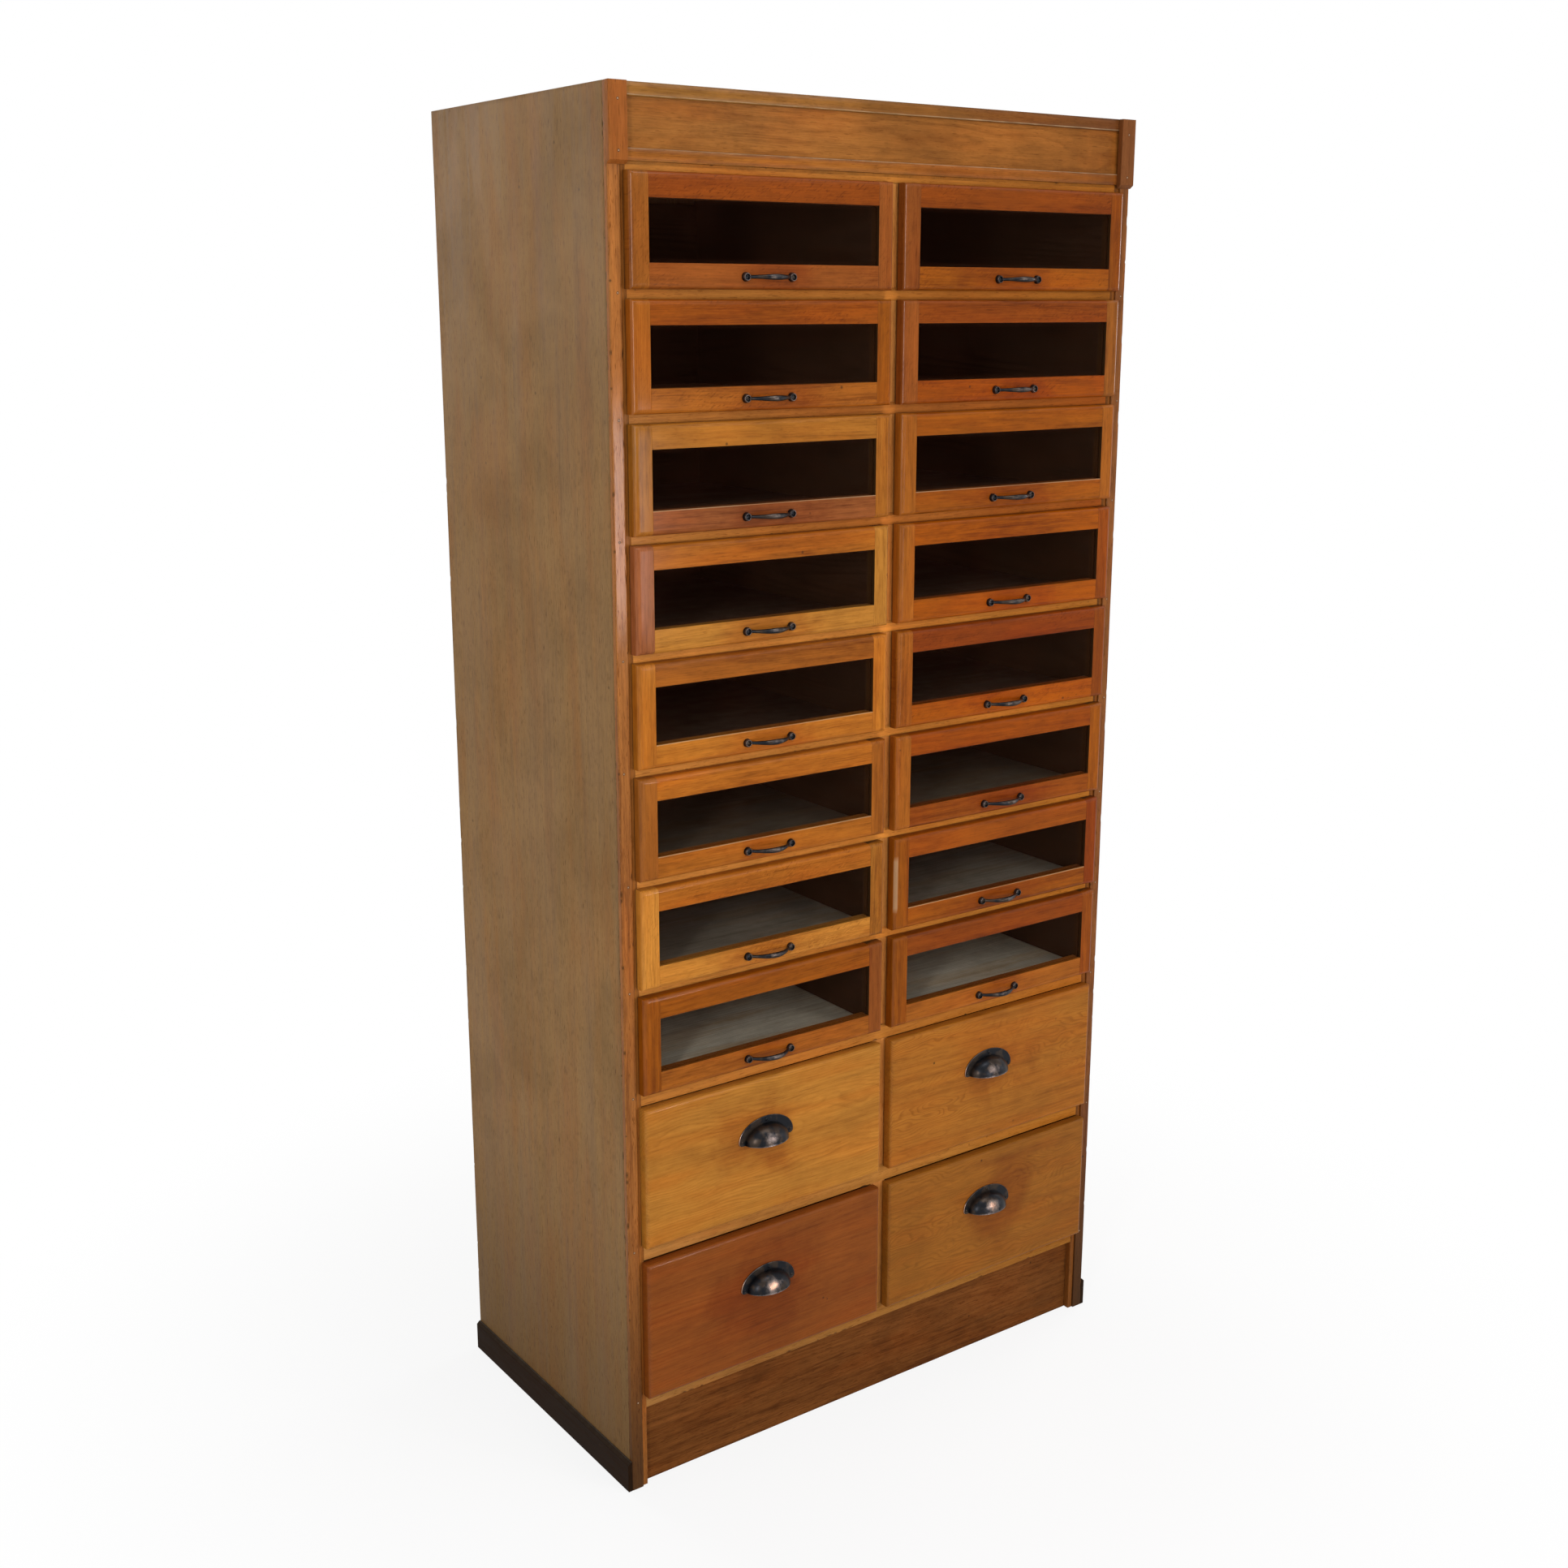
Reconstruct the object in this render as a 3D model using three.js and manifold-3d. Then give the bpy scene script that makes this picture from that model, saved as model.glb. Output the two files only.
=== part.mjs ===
// Haberdashery cabinet in oak: two columns of drawers in one tall case.
// Eight rows have glazed fronts with bow pulls, and two deep rows below have solid fronts
// with cup pulls. Every drawer slides out to the front.
// Millimetres, X to the right, Y to the back, Z up. The origin is on the floor, in the
// middle of the whole object's width and depth, pulls and skirting included.
import * as THREE from "three";
import { mergeVertices } from "three/addons/utils/BufferGeometryUtils.js";
import Module from "manifold-3d";

const wasm = await Module();
wasm.setup();

// Counts
const deepRows = 2;
const displayRows = 8;
const roundSteps = 3;
const bowRings = 6;
const bowSides = 8;
const cupSteps = 16;

// Heights on the face, from the floor up
const plinthHeight = 129;
const bottomRailShow = 22.5;
const deepFrontHeight = 217;
const deepRailShow = 26.5;
const beltRailShow = 21.5;
const displayFrontHeight = 146.5;
const displayRailShow = 12.5;
const topRailShow = 11.5;
const lowerBandHeight = 16;
const friezePanelHeight = 62;
const topMouldingHeight = 17.5;

// Widths on the face
const frontWidth = 431;
const centreGap = 20;
const sideReveal = 24;

// The case
const caseDepth = 495;
const sideThickness = 19;
const stileThickness = 8;
const railRecess = 3;
const railThickness = 20;
const partitionThickness = 18;
const backThickness = 9;
const topThickness = 18;
const bottomThickness = 18;
const frontClearance = 0.4;

// How far a front laps over the frame: below it, beside it and above it
const lipDown = 4;
const lipSide = 4;
const displayLipUp = 1.5;
const deepTopGap = 2;

// The frieze
const blockWidth = 26.8;
const blockThickness = 8.3;
const blockOverhang = 1.1;
const blockBevelHeight = 5;
const blockBevelDepth = 6.5;
const mouldingThickness = 3;
const mouldingRound = 2;

// The plinth and the skirting
const plinthRecess = 12.5;
const plinthThickness = 16;
const backRailThickness = 18;
const skirtingHeight = 49;
const skirtingThickness = 7;
const skirtingChamfer = 5;

// Runners inside the case
const runnerHeight = 12;
const runnerUnderBox = 14;
const battenDepth = 24;

// Drawer boxes
const boxSideClearance = 1.5;
const boxRunClearance = 0.5;
const boxTopClearance = 5;
const boxBackClearance = 14;
const displayBoard = 10;
const deepBoard = 12;
const boxBottomThickness = 5;
const boxBottomLift = 6;
const boxBackDrop = 6;
const boxTongue = 4;

// Drawer fronts
const frontThickness = 18;
const frontRound = 7;
const frameStile = 27.5;
const frameRail = 33;
const glassThickness = 3;
const glassSetback = 5;
const glassBite = 6;
const glassClearance = 0.3;

// Bow pulls
const bowSpan = 76;
const bowReach = 23;
const bowThickRadius = 4;
const bowThinRadius = 2.4;
const bowBallRadius = 6.3;
const bowBallHeight = 7;
const bowSeat = 1.5;

// Cup pulls
const cupWidth = 99;
const cupHeight = 38.5;
const cupFlange = 11;
const cupFlangeThickness = 1.6;
const cupReach = 27;
const cupWall = 2;
const cupLift = 10;
const cupClearance = 0.3;
const cupScrewRadius = 2.6;
const cupScrewHeight = 1.1;
const cupLobe = 5.5;
// the real cups sit a little left of the middle, each by its own share of the front's width
const cupShiftShares = { left: [-0.006, -0.014], right: [-0.02, -0.032] };

// Cuts run past the faces that they go through, and close vertices count as one
const cutOverrun = 5;
const weld = 1e-4;

// Levels, widths and depths that follow from the sizes above
const friezeHeight = lowerBandHeight + friezePanelHeight + topMouldingHeight;
const cabinetWidth = 2 * sideReveal + 2 * frontWidth + centreGap;
const frontmost = railRecess - frontClearance - frontThickness;
const pullReach = Math.max(bowReach, cupClearance + cupReach);
const originDepth = (frontmost - pullReach + caseDepth) / 2;
const innerBack = caseDepth - backThickness;
const railBack = railRecess + railThickness;
const openingLeft = sideReveal + lipSide;
const openingWidth = frontWidth - 2 * lipSide;
const openingRight = openingLeft + openingWidth;
const centre = cabinetWidth / 2;
const frontBack = railRecess - frontClearance;

// The rows of drawers from the floor up, with the rail below each one
const rows = [];
const rails = [];
let level = plinthHeight;
let railShow = bottomRailShow;
let railBottom = plinthHeight;
for (let r = 0; r < deepRows + displayRows; r++) {
  const deep = r < deepRows;
  const bottom = level + railShow;
  const top = bottom + (deep ? deepFrontHeight : displayFrontHeight);
  rails.push({ bottom: railBottom, top: bottom + lipDown });
  railBottom = deep ? top + deepTopGap : top - displayLipUp;
  rows.push({ deep, bottom, top, openingBottom: bottom + lipDown, openingTop: railBottom });
  railShow = r < deepRows - 1 ? deepRailShow : displayRailShow;
  if (r === deepRows - 1) railShow = beltRailShow;
  level = top;
}
const friezeBottom = level + topRailShow;
rails.push({ bottom: railBottom, top: friezeBottom });
const cabinetHeight = friezeBottom + friezeHeight;

const finishes = {
  sideOak: { color: 0x8a6c42, roughness: 0.55 },
  railOak: { color: 0xb27c3c, roughness: 0.5 },
  stileOak: { color: 0xa5622c, roughness: 0.5 },
  friezeOak: { color: 0x9a682e, roughness: 0.5 },
  plinthOak: { color: 0x6f4820, roughness: 0.65 },
  skirtingOak: { color: 0x3d2d1e, roughness: 0.7 },
  innerWood: { color: 0x8f7350, roughness: 0.8 },
  redOak: { color: 0xa8581f, roughness: 0.45 },
  goldenOak: { color: 0xb8782c, roughness: 0.45 },
  darkOak: { color: 0x8a4c20, roughness: 0.45 },
  glass: { color: 0xdfe6e2, roughness: 0.05, transparent: true, opacity: 0.3 },
  bronze: { color: 0x3a2c26, roughness: 0.35, metalness: 0.9 },
};
const materials = {};
for (const [name, values] of Object.entries(finishes)) {
  materials[name] = new THREE.MeshStandardMaterial({ name, metalness: 0, ...values });
}

// A closed three.js geometry as a solid that can be joined and cut.
function solid(geometry) {
  const bare = geometry.index ? geometry.toNonIndexed() : geometry.clone();
  bare.deleteAttribute("normal");
  bare.deleteAttribute("uv");
  const merged = mergeVertices(bare, weld);
  return new wasm.Manifold(
    new wasm.Mesh({
      numProp: 3,
      vertProperties: merged.attributes.position.array,
      triVerts: new Uint32Array(merged.index.array),
    }),
  );
}

// A solid turned back into a three.js geometry with flat faces.
function geometryOf(made) {
  const mesh = made.getMesh();
  const positions = new Float32Array(mesh.numVert * 3);
  for (let v = 0; v < mesh.numVert; v++) {
    for (let k = 0; k < 3; k++) {
      positions[v * 3 + k] = mesh.vertProperties[v * mesh.numProp + k];
    }
  }
  const indexed = new THREE.BufferGeometry();
  indexed.setAttribute("position", new THREE.BufferAttribute(positions, 3));
  indexed.setIndex(new THREE.BufferAttribute(mesh.triVerts, 1));
  const flat = indexed.toNonIndexed();
  flat.computeVertexNormals();
  return flat;
}

// A box between two corners.
function board(x0, x1, y0, y1, z0, z1) {
  const box = new THREE.BoxGeometry(x1 - x0, y1 - y0, z1 - z0);
  box.translate((x0 + x1) / 2, (y0 + y1) / 2, (z0 + z1) / 2);
  return solid(box);
}

function joined(solids) {
  return solids.reduce((sum, next) => sum.add(next));
}

// A section drawn in Y and Z, run along X from x0 to x1.
function alongX(shape, x0, x1) {
  const run = new THREE.ExtrudeGeometry(shape, {
    depth: x1 - x0,
    bevelEnabled: false,
    curveSegments: roundSteps,
  });
  const turn = new THREE.Matrix4().makeBasis(
    new THREE.Vector3(0, 1, 0),
    new THREE.Vector3(0, 0, 1),
    new THREE.Vector3(1, 0, 0),
  );
  run.applyMatrix4(turn);
  run.translate(x0, 0, 0);
  return solid(run);
}

// An outline drawn in X and Y, run up Z from z0 to z1.
function alongZ(shape, z0, z1) {
  const run = new THREE.ExtrudeGeometry(shape, {
    depth: z1 - z0,
    bevelEnabled: false,
    curveSegments: roundSteps,
  });
  run.translate(0, 0, z0);
  return solid(run);
}

function polygon(points) {
  return new THREE.Shape(points.map(([a, b]) => new THREE.Vector2(a, b)));
}

const group = new THREE.Group();
group.name = "haberdashery_cabinet";
const frame = new THREE.Group();
frame.position.set(-centre, -originDepth, 0);
group.add(frame);

function place(name, made, material) {
  const mesh = new THREE.Mesh(geometryOf(made), materials[material]);
  mesh.name = name;
  frame.add(mesh);
  return mesh;
}

// A piece made for the left side, and its mirror image for the right side.
function mirrored(made) {
  return made.mirror([1, 0, 0]).translate([cabinetWidth, 0, 0]);
}

function placePair(name, made, material) {
  place(`${name}_left`, made, material);
  place(`${name}_right`, mirrored(made), material);
}

// The case: sides, top, bottom, back and the partition with its own runners
function buildCase() {
  placePair(
    "side_panel",
    board(0, sideThickness, stileThickness, caseDepth, 0, cabinetHeight),
    "sideOak",
  );
  const inner = cabinetWidth - sideThickness;
  place(
    "top_board",
    board(sideThickness, inner, railBack, caseDepth, cabinetHeight - topThickness, cabinetHeight),
    "sideOak",
  );
  place(
    "bottom_board",
    board(sideThickness, inner, railBack, innerBack, plinthHeight, plinthHeight + bottomThickness),
    "innerWood",
  );
  place(
    "back_panel",
    board(sideThickness, inner, innerBack, caseDepth, plinthHeight, cabinetHeight - topThickness),
    "innerWood",
  );
}

// The ledges that carry one wall's drawers, and the two battens that tie and guide them.
function ladder(wall, ledgeEdge, battenEdge) {
  const floor = plinthHeight + bottomThickness;
  const ceiling = cabinetHeight - topThickness;
  const ledges = rows.map((row) => {
    const bottom = Math.max(row.openingBottom - runnerHeight, floor);
    return board(wall, ledgeEdge, railBack, innerBack, bottom, row.openingBottom);
  });
  const battens = [railBack, innerBack - battenDepth].map((front) =>
    board(wall, battenEdge, front, front + battenDepth, floor, ceiling),
  );
  return joined([...ledges, ...battens]);
}

function buildRunners() {
  const ledgeEdge = openingLeft + boxSideClearance + runnerUnderBox;
  placePair("runner_ladder", ladder(sideThickness, ledgeEdge, openingLeft), "innerWood");
}

// The partition between the two columns, with ledges and battens on both of its faces
function buildPartition() {
  const left = centre - partitionThickness / 2;
  const floor = plinthHeight + bottomThickness;
  const ceiling = cabinetHeight - topThickness;
  const right = centre + partitionThickness / 2;
  const ledgeEdge = cabinetWidth - openingRight + boxSideClearance + runnerUnderBox;
  // each half starts inside the wall, so that the two always join
  const half = ladder(centre, ledgeEdge, cabinetWidth - openingRight);
  const wall = board(left, right, railBack, innerBack, floor, ceiling);
  place("centre_partition", joined([wall, half, mirrored(half)]), "innerWood");
}

// The face frame: posts, rails and the centre stile, halved and glued into one frame
function buildFaceFrame() {
  const inner = cabinetWidth - sideThickness;
  const frameBack = railBack;
  const pieces = rails.map((rail) =>
    board(sideThickness, inner, railRecess, frameBack, rail.bottom, rail.top),
  );
  const post = board(sideThickness, openingLeft, railRecess, frameBack, 0, friezeBottom);
  pieces.push(post, mirrored(post));
  pieces.push(
    board(
      openingRight,
      cabinetWidth - openingRight,
      railRecess,
      frameBack,
      plinthHeight,
      friezeBottom,
    ),
  );
  place("face_frame", joined(pieces), "railOak");
}

function buildStiles() {
  placePair(
    "front_stile",
    board(0, sideThickness, 0, stileThickness, 0, cabinetHeight),
    "stileOak",
  );
}

// The frieze: a backing board with two applied mouldings and an end block at each side
function buildFrieze() {
  const inner = cabinetWidth - sideThickness;
  const panelFace = mouldingThickness;
  const panelBack = railBack;
  place(
    "frieze_board",
    board(sideThickness, inner, panelFace, panelBack, friezeBottom, cabinetHeight),
    "friezeOak",
  );
  const round = mouldingRound;
  const topFoot = cabinetHeight - topMouldingHeight;
  const topSection = new THREE.Shape();
  topSection.moveTo(panelFace, cabinetHeight);
  topSection.lineTo(0, cabinetHeight);
  topSection.lineTo(0, topFoot + round);
  topSection.absarc(round, topFoot + round, round, Math.PI, 1.5 * Math.PI, false);
  topSection.lineTo(panelFace, topFoot);
  place("frieze_top_moulding", alongX(topSection, sideThickness, inner), "friezeOak");
  const bandTop = friezeBottom + lowerBandHeight;
  const bandSection = new THREE.Shape();
  bandSection.moveTo(panelFace, friezeBottom);
  bandSection.lineTo(panelFace, bandTop);
  bandSection.lineTo(round, bandTop);
  bandSection.absarc(round, bandTop - round, round, Math.PI / 2, Math.PI, false);
  bandSection.lineTo(0, friezeBottom);
  place("frieze_lower_band", alongX(bandSection, sideThickness, inner), "friezeOak");
  const blockSection = polygon([
    [0, cabinetHeight],
    [-blockThickness, cabinetHeight],
    [-blockThickness, friezeBottom],
    [blockBevelDepth - blockThickness, friezeBottom - blockBevelHeight],
    [0, friezeBottom - blockBevelHeight],
  ]);
  placePair("frieze_block", alongX(blockSection, -blockOverhang, blockWidth), "stileOak");
}

// The plinth board fills the space between the posts, and a rail closes the back
function buildPlinth() {
  place(
    "plinth_front",
    board(
      openingLeft,
      cabinetWidth - openingLeft,
      plinthRecess,
      plinthRecess + plinthThickness,
      0,
      plinthHeight,
    ),
    "plinthOak",
  );
  place(
    "plinth_back",
    board(
      sideThickness,
      cabinetWidth - sideThickness,
      innerBack - backRailThickness,
      innerBack,
      0,
      plinthHeight,
    ),
    "innerWood",
  );
  const section = polygon([
    [0, 0],
    [0, skirtingHeight],
    [-skirtingThickness + skirtingChamfer, skirtingHeight],
    [-skirtingThickness, skirtingHeight - skirtingChamfer],
    [-skirtingThickness, 0],
  ]);
  const run = new THREE.ExtrudeGeometry(section, { depth: caseDepth, bevelEnabled: false });
  run.rotateX(Math.PI / 2);
  run.translate(0, caseDepth, 0);
  placePair("plinth_side", solid(run), "skirtingOak");
}

// A front with its face edges rounded all round, so that the rounds meet in mitres.
function roundedFront(x0, z0, width, height) {
  const face = frontmost;
  const r = frontRound;
  const side = new THREE.Shape();
  side.moveTo(frontBack, z0);
  side.lineTo(frontBack, z0 + height);
  side.lineTo(face + r, z0 + height);
  side.absarc(face + r, z0 + height - r, r, Math.PI / 2, Math.PI, false);
  side.lineTo(face, z0 + r);
  side.absarc(face + r, z0 + r, r, Math.PI, 1.5 * Math.PI, false);
  const plan = new THREE.Shape();
  plan.moveTo(x0, frontBack);
  plan.lineTo(x0, face + r);
  plan.absarc(x0 + r, face + r, r, Math.PI, 1.5 * Math.PI, false);
  plan.lineTo(x0 + width - r, face);
  plan.absarc(x0 + width - r, face + r, r, 1.5 * Math.PI, 2 * Math.PI, false);
  plan.lineTo(x0 + width, frontBack);
  return alongX(side, x0, x0 + width).intersect(alongZ(plan, z0, z0 + height));
}

// The drawer box behind a front: two sides, a back and a bottom let into them
function drawerBox(row, x0, thickness) {
  const left = x0 + lipSide + boxSideClearance;
  const right = x0 + frontWidth - lipSide - boxSideClearance;
  const low = row.openingBottom + boxRunClearance;
  const high = row.openingTop - boxTopClearance;
  const tongue = frontBack - boxTongue;
  const back = innerBack - boxBackClearance;
  const bottom = low + boxBottomLift;
  return joined([
    board(left, left + thickness, tongue, back, low, high),
    board(right - thickness, right, tongue, back, low, high),
    board(left, right, back - thickness, back, low, high - boxBackDrop),
    board(left, right, tongue, back, bottom, bottom + boxBottomThickness),
  ]);
}

// A ball end of a bow pull, seated on the front, with its axis towards the front.
function bowBall(x, z) {
  const half = bowBallHeight - bowSeat;
  const profile = [
    new THREE.Vector2(0, -bowSeat),
    new THREE.Vector2(bowBallRadius, -bowSeat),
    new THREE.Vector2(bowBallRadius, bowSeat),
  ];
  for (let i = 1; i < roundSteps; i++) {
    const angle = (i / roundSteps) * (Math.PI / 2);
    const rise = bowSeat + (half - bowSeat) * Math.sin(angle);
    profile.push(new THREE.Vector2(bowBallRadius * Math.cos(angle), rise));
  }
  profile.push(new THREE.Vector2(0, half));
  const ball = new THREE.LatheGeometry(profile, bowSides);
  ball.rotateX(Math.PI);
  ball.translate(x, frontmost, z);
  return solid(ball);
}

// The bar of a bow pull: a spindle, thickest in the middle, bent round a half ellipse.
function bowBar(x, z) {
  const rise = bowReach - bowThickRadius;
  const profile = [new THREE.Vector2(0, -1)];
  for (let i = 0; i <= bowRings; i++) {
    const along = (2 * i) / bowRings - 1;
    const swell = Math.cos((along * Math.PI) / 2) ** 2;
    profile.push(new THREE.Vector2(bowThinRadius + (bowThickRadius - bowThinRadius) * swell, along));
  }
  profile.push(new THREE.Vector2(0, 1));
  const bar = new THREE.LatheGeometry(profile, bowSides);
  const position = bar.attributes.position;
  const half = bowSpan / 2;
  for (let i = 0; i < position.count; i++) {
    const angle = (position.getY(i) * Math.PI) / 2;
    const across = position.getX(i);
    const up = position.getZ(i);
    const slope = new THREE.Vector2(half * Math.cos(angle), rise * Math.sin(angle)).normalize();
    position.setXYZ(
      i,
      x + half * Math.sin(angle) + slope.y * across,
      frontmost - rise * Math.cos(angle) - slope.x * across,
      z + up,
    );
  }
  return solid(bar);
}

function bowPull(x, z) {
  const half = bowSpan / 2;
  const bar = bowBar(x, z);
  return joined([bar, bowBall(x - half, z), bowBall(x + half, z)]);
}

// A glazed drawer: framed front with a groove for its pane, the box and the bow pull
function buildDisplayDrawer(row, x0, side, number) {
  const height = row.top - row.bottom;
  const windowLeft = x0 + frameStile;
  const windowRight = x0 + frontWidth - frameStile;
  const windowLow = row.bottom + frameRail;
  const windowHigh = row.top - frameRail;
  const opening = board(
    windowLeft,
    windowRight,
    frontmost - cutOverrun,
    frontBack + cutOverrun,
    windowLow,
    windowHigh,
  );
  const paneFront = frontmost + glassSetback;
  const groove = board(
    windowLeft - glassBite - glassClearance,
    windowRight + glassBite + glassClearance,
    paneFront - glassClearance,
    paneFront + glassThickness + glassClearance,
    windowLow - glassBite - glassClearance,
    windowHigh + glassBite + glassClearance,
  );
  const pane = board(
    windowLeft - glassBite,
    windowRight + glassBite,
    paneFront,
    paneFront + glassThickness,
    windowLow - glassBite,
    windowHigh + glassBite,
  );
  const drawer = roundedFront(x0, row.bottom, frontWidth, height)
    .add(drawerBox(row, x0, displayBoard))
    .subtract(opening)
    .subtract(groove)
    .add(bowPull(x0 + frontWidth / 2, row.bottom + frameRail / 2));
  const tone = number <= 2 ? "redOak" : "goldenOak";
  place(`display_drawer_${side}_${number}`, drawer, tone);
  place(`glass_pane_${side}_${number}`, pane, "glass");
}

// A cup pull: a half round flange with three screws and a hollow half dome open below
function cupPull(x, z) {
  const dome = {
    x: cupWidth / 2 - cupFlange,
    y: cupReach,
    z: cupHeight - cupFlange,
  };
  const seat = frontmost - cupClearance;
  const plate = new THREE.Shape();
  const lobe = cupWidth / 2 - cupLobe;
  plate.moveTo(-lobe, 0);
  plate.lineTo(lobe, 0);
  plate.absarc(lobe, cupLobe, cupLobe, -Math.PI / 2, 0, false);
  plate.absellipse(0, cupLobe, cupWidth / 2, cupHeight - cupLobe, 0, Math.PI, false, 0);
  plate.absarc(-lobe, cupLobe, cupLobe, Math.PI, 1.5 * Math.PI, false);
  const flange = new THREE.ExtrudeGeometry(plate, {
    depth: cupFlangeThickness,
    bevelEnabled: false,
    curveSegments: cupSteps / 2,
  });
  flange.rotateX(Math.PI / 2);
  const shell = new THREE.SphereGeometry(1, cupSteps, cupSteps / 2);
  shell.rotateX(Math.PI / 2);
  const hollow = shell.clone();
  shell.scale(dome.x, dome.y, dome.z);
  hollow.scale(dome.x - cupWall, dome.y - cupWall, dome.z - cupWall);
  const keep = board(-cupWidth, cupWidth, -cupReach - cutOverrun, 0, 0, cupHeight + cutOverrun);
  const screwPlaces = [
    [lobe, cupLobe],
    [0, cupHeight - cupLobe],
    [-lobe, cupLobe],
  ];
  const screws = screwPlaces.map(([across, up]) => {
    const length = cupFlangeThickness + cupScrewHeight;
    const head = new THREE.CylinderGeometry(cupScrewRadius, cupScrewRadius, length, bowSides);
    head.translate(across, -length / 2, up);
    return solid(head);
  });
  return joined([solid(flange), solid(shell).intersect(keep), ...screws])
    .subtract(solid(hollow))
    .translate([x, seat, z]);
}

// A deep drawer: a solid front, a deeper box and a cup pull above its middle
function buildDeepDrawer(row, x0, side, number) {
  const height = row.top - row.bottom;
  const drawer = roundedFront(x0, row.bottom, frontWidth, height).add(
    drawerBox(row, x0, deepBoard),
  );
  const tone = side === "left" && row === rows[0] ? "darkOak" : "goldenOak";
  place(`deep_drawer_${side}_${number}`, drawer, tone);
  const shift = cupShiftShares[side][rows.indexOf(row)] * frontWidth;
  const cup = cupPull(x0 + frontWidth / 2 + shift, row.bottom + height / 2 + cupLift);
  place(`cup_pull_${side}_${number}`, cup, "bronze");
}

function buildDrawers() {
  const columns = [
    ["left", sideReveal],
    ["right", cabinetWidth - sideReveal - frontWidth],
  ];
  for (const [side, x0] of columns) {
    rows.forEach((row, index) => {
      const number = rows.length - index;
      if (row.deep) buildDeepDrawer(row, x0, side, number);
      else buildDisplayDrawer(row, x0, side, number);
    });
  }
}

buildCase();
buildRunners();
buildPartition();
buildFaceFrame();
buildStiles();
buildFrieze();
buildPlinth();
buildDrawers();

export default group;
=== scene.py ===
import math

import bpy
import numpy as np
from mathutils import Euler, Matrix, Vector


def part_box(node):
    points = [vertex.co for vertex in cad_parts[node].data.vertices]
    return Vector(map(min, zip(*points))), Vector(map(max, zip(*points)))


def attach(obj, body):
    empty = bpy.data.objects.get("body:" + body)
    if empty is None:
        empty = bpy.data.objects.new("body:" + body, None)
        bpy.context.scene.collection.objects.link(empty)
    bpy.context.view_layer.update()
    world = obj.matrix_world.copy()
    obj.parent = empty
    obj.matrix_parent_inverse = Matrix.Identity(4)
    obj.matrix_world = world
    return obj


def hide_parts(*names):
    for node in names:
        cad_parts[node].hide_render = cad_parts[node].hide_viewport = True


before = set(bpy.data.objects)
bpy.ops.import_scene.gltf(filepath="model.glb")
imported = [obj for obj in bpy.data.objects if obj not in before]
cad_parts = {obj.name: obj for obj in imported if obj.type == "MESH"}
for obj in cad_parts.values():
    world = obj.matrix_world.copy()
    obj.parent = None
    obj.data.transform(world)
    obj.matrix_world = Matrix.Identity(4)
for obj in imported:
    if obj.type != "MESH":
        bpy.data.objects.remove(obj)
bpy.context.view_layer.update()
print("frame loaded")

mm = 0.001
sides = ("left", "right")
displayRows = range(1, 9)
deepRows = (9, 10)


# Stains of the oak boards, as a french polisher would name them
stains = {
    "sienna": "#7b3a08",
    "oxblood": "#793406",
    "redwood": "#873f04",
    "mahogany": "#7e4316",
    "russet": "#87430a",
    "cinnamon": "#8a4909",
    "copper": "#954a04",
    "hazel": "#8a5019",
    "chestnut": "#935316",
    "walnut": "#844a22",
    "umber": "#925630",
    "amber": "#a15d18",
    "nutmeg": "#985f1e",
    "tan": "#8e581b",
    "honey": "#aa671e",
    "oldGold": "#a66e28",
    "straw": "#b5772c",
    "rail": "#c07e38",
    "railRight": "#b06c24",
    "railRed": "#a8581a",
    "railPaintedLight": "#d68f42",
    "railPaintedLightRight": "#c97f2e",
    "railFoot": "#a9763d",
    "railFootRight": "#a16a24",
    "railLow": "#bd8545",
    "railLowRight": "#b07428",
    "centre": "#b97a3c",
    "stile": "#a2652c",
    "stileRight": "#834e20",
    "block": "#945a28",
    "blockRight": "#704322",
    "frieze": "#98622a",
    "friezeRight": "#875220",
    "moulding": "#9c692b",
    "mouldingRight": "#693c1b",
    "band": "#a36625",
    "bandRight": "#834a1b",
    "plinth": "#70421c",
    "skirting": "#20130c",
    "veneer": "#87663e",
    "boxSide": "#35251a",
    "soot": "#1b1009",
    "peat": "#3b291c",
    "slate": "#6e6453",
    "ash": "#979080",
    "linen": "#d4ceba",
    "lining": "#979480",
    "deal": "#8a6a45",
    "topBoard": "#6f5536",
}


def linear(code):
    # a hex colour as linear light
    shares = [int(code[i:i + 2], 16) / 255 for i in (1, 3, 5)]
    return [s / 12.92 if s <= 0.04045 else ((s + 0.055) / 1.055) ** 2.4 for s in shares]


# Camera, where the photograph was taken from
cameraValues = {
    "place": (-1.72876, -2.35130, 1.72771),
    "turn": 35.514,
    "tilt": 13.760,
    "lens": 42.96,
    "sensor": 36.0,
    "shift": (0.0087, -0.0138),
    "nearest": 0.05,
    "farthest": 60.0,
}


def makeCamera():
    values = cameraValues
    lens = bpy.data.cameras.new("camera")
    lens.sensor_width = values["sensor"]
    lens.lens = values["lens"]
    lens.shift_x, lens.shift_y = values["shift"]
    lens.clip_start = values["nearest"]
    lens.clip_end = values["farthest"]
    camera = bpy.data.objects.new("camera", lens)
    camera.location = values["place"]
    camera.rotation_euler = Euler(
        (math.radians(90 - values["tilt"]), 0, math.radians(-values["turn"]))
    )
    bpy.context.scene.collection.objects.link(camera)
    bpy.context.scene.camera = camera


makeCamera()
print("camera set")


# Node helpers: each one returns the output socket of what it adds
def addNode(tree, kind, **settings):
    node = tree.nodes.new(kind)
    for name, value in settings.items():
        setattr(node, name, value)
    return node


def plug(tree, socket, value):
    if isinstance(value, bpy.types.NodeSocket):
        tree.links.new(value, socket)
    elif value is not None:
        socket.default_value = value


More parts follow.
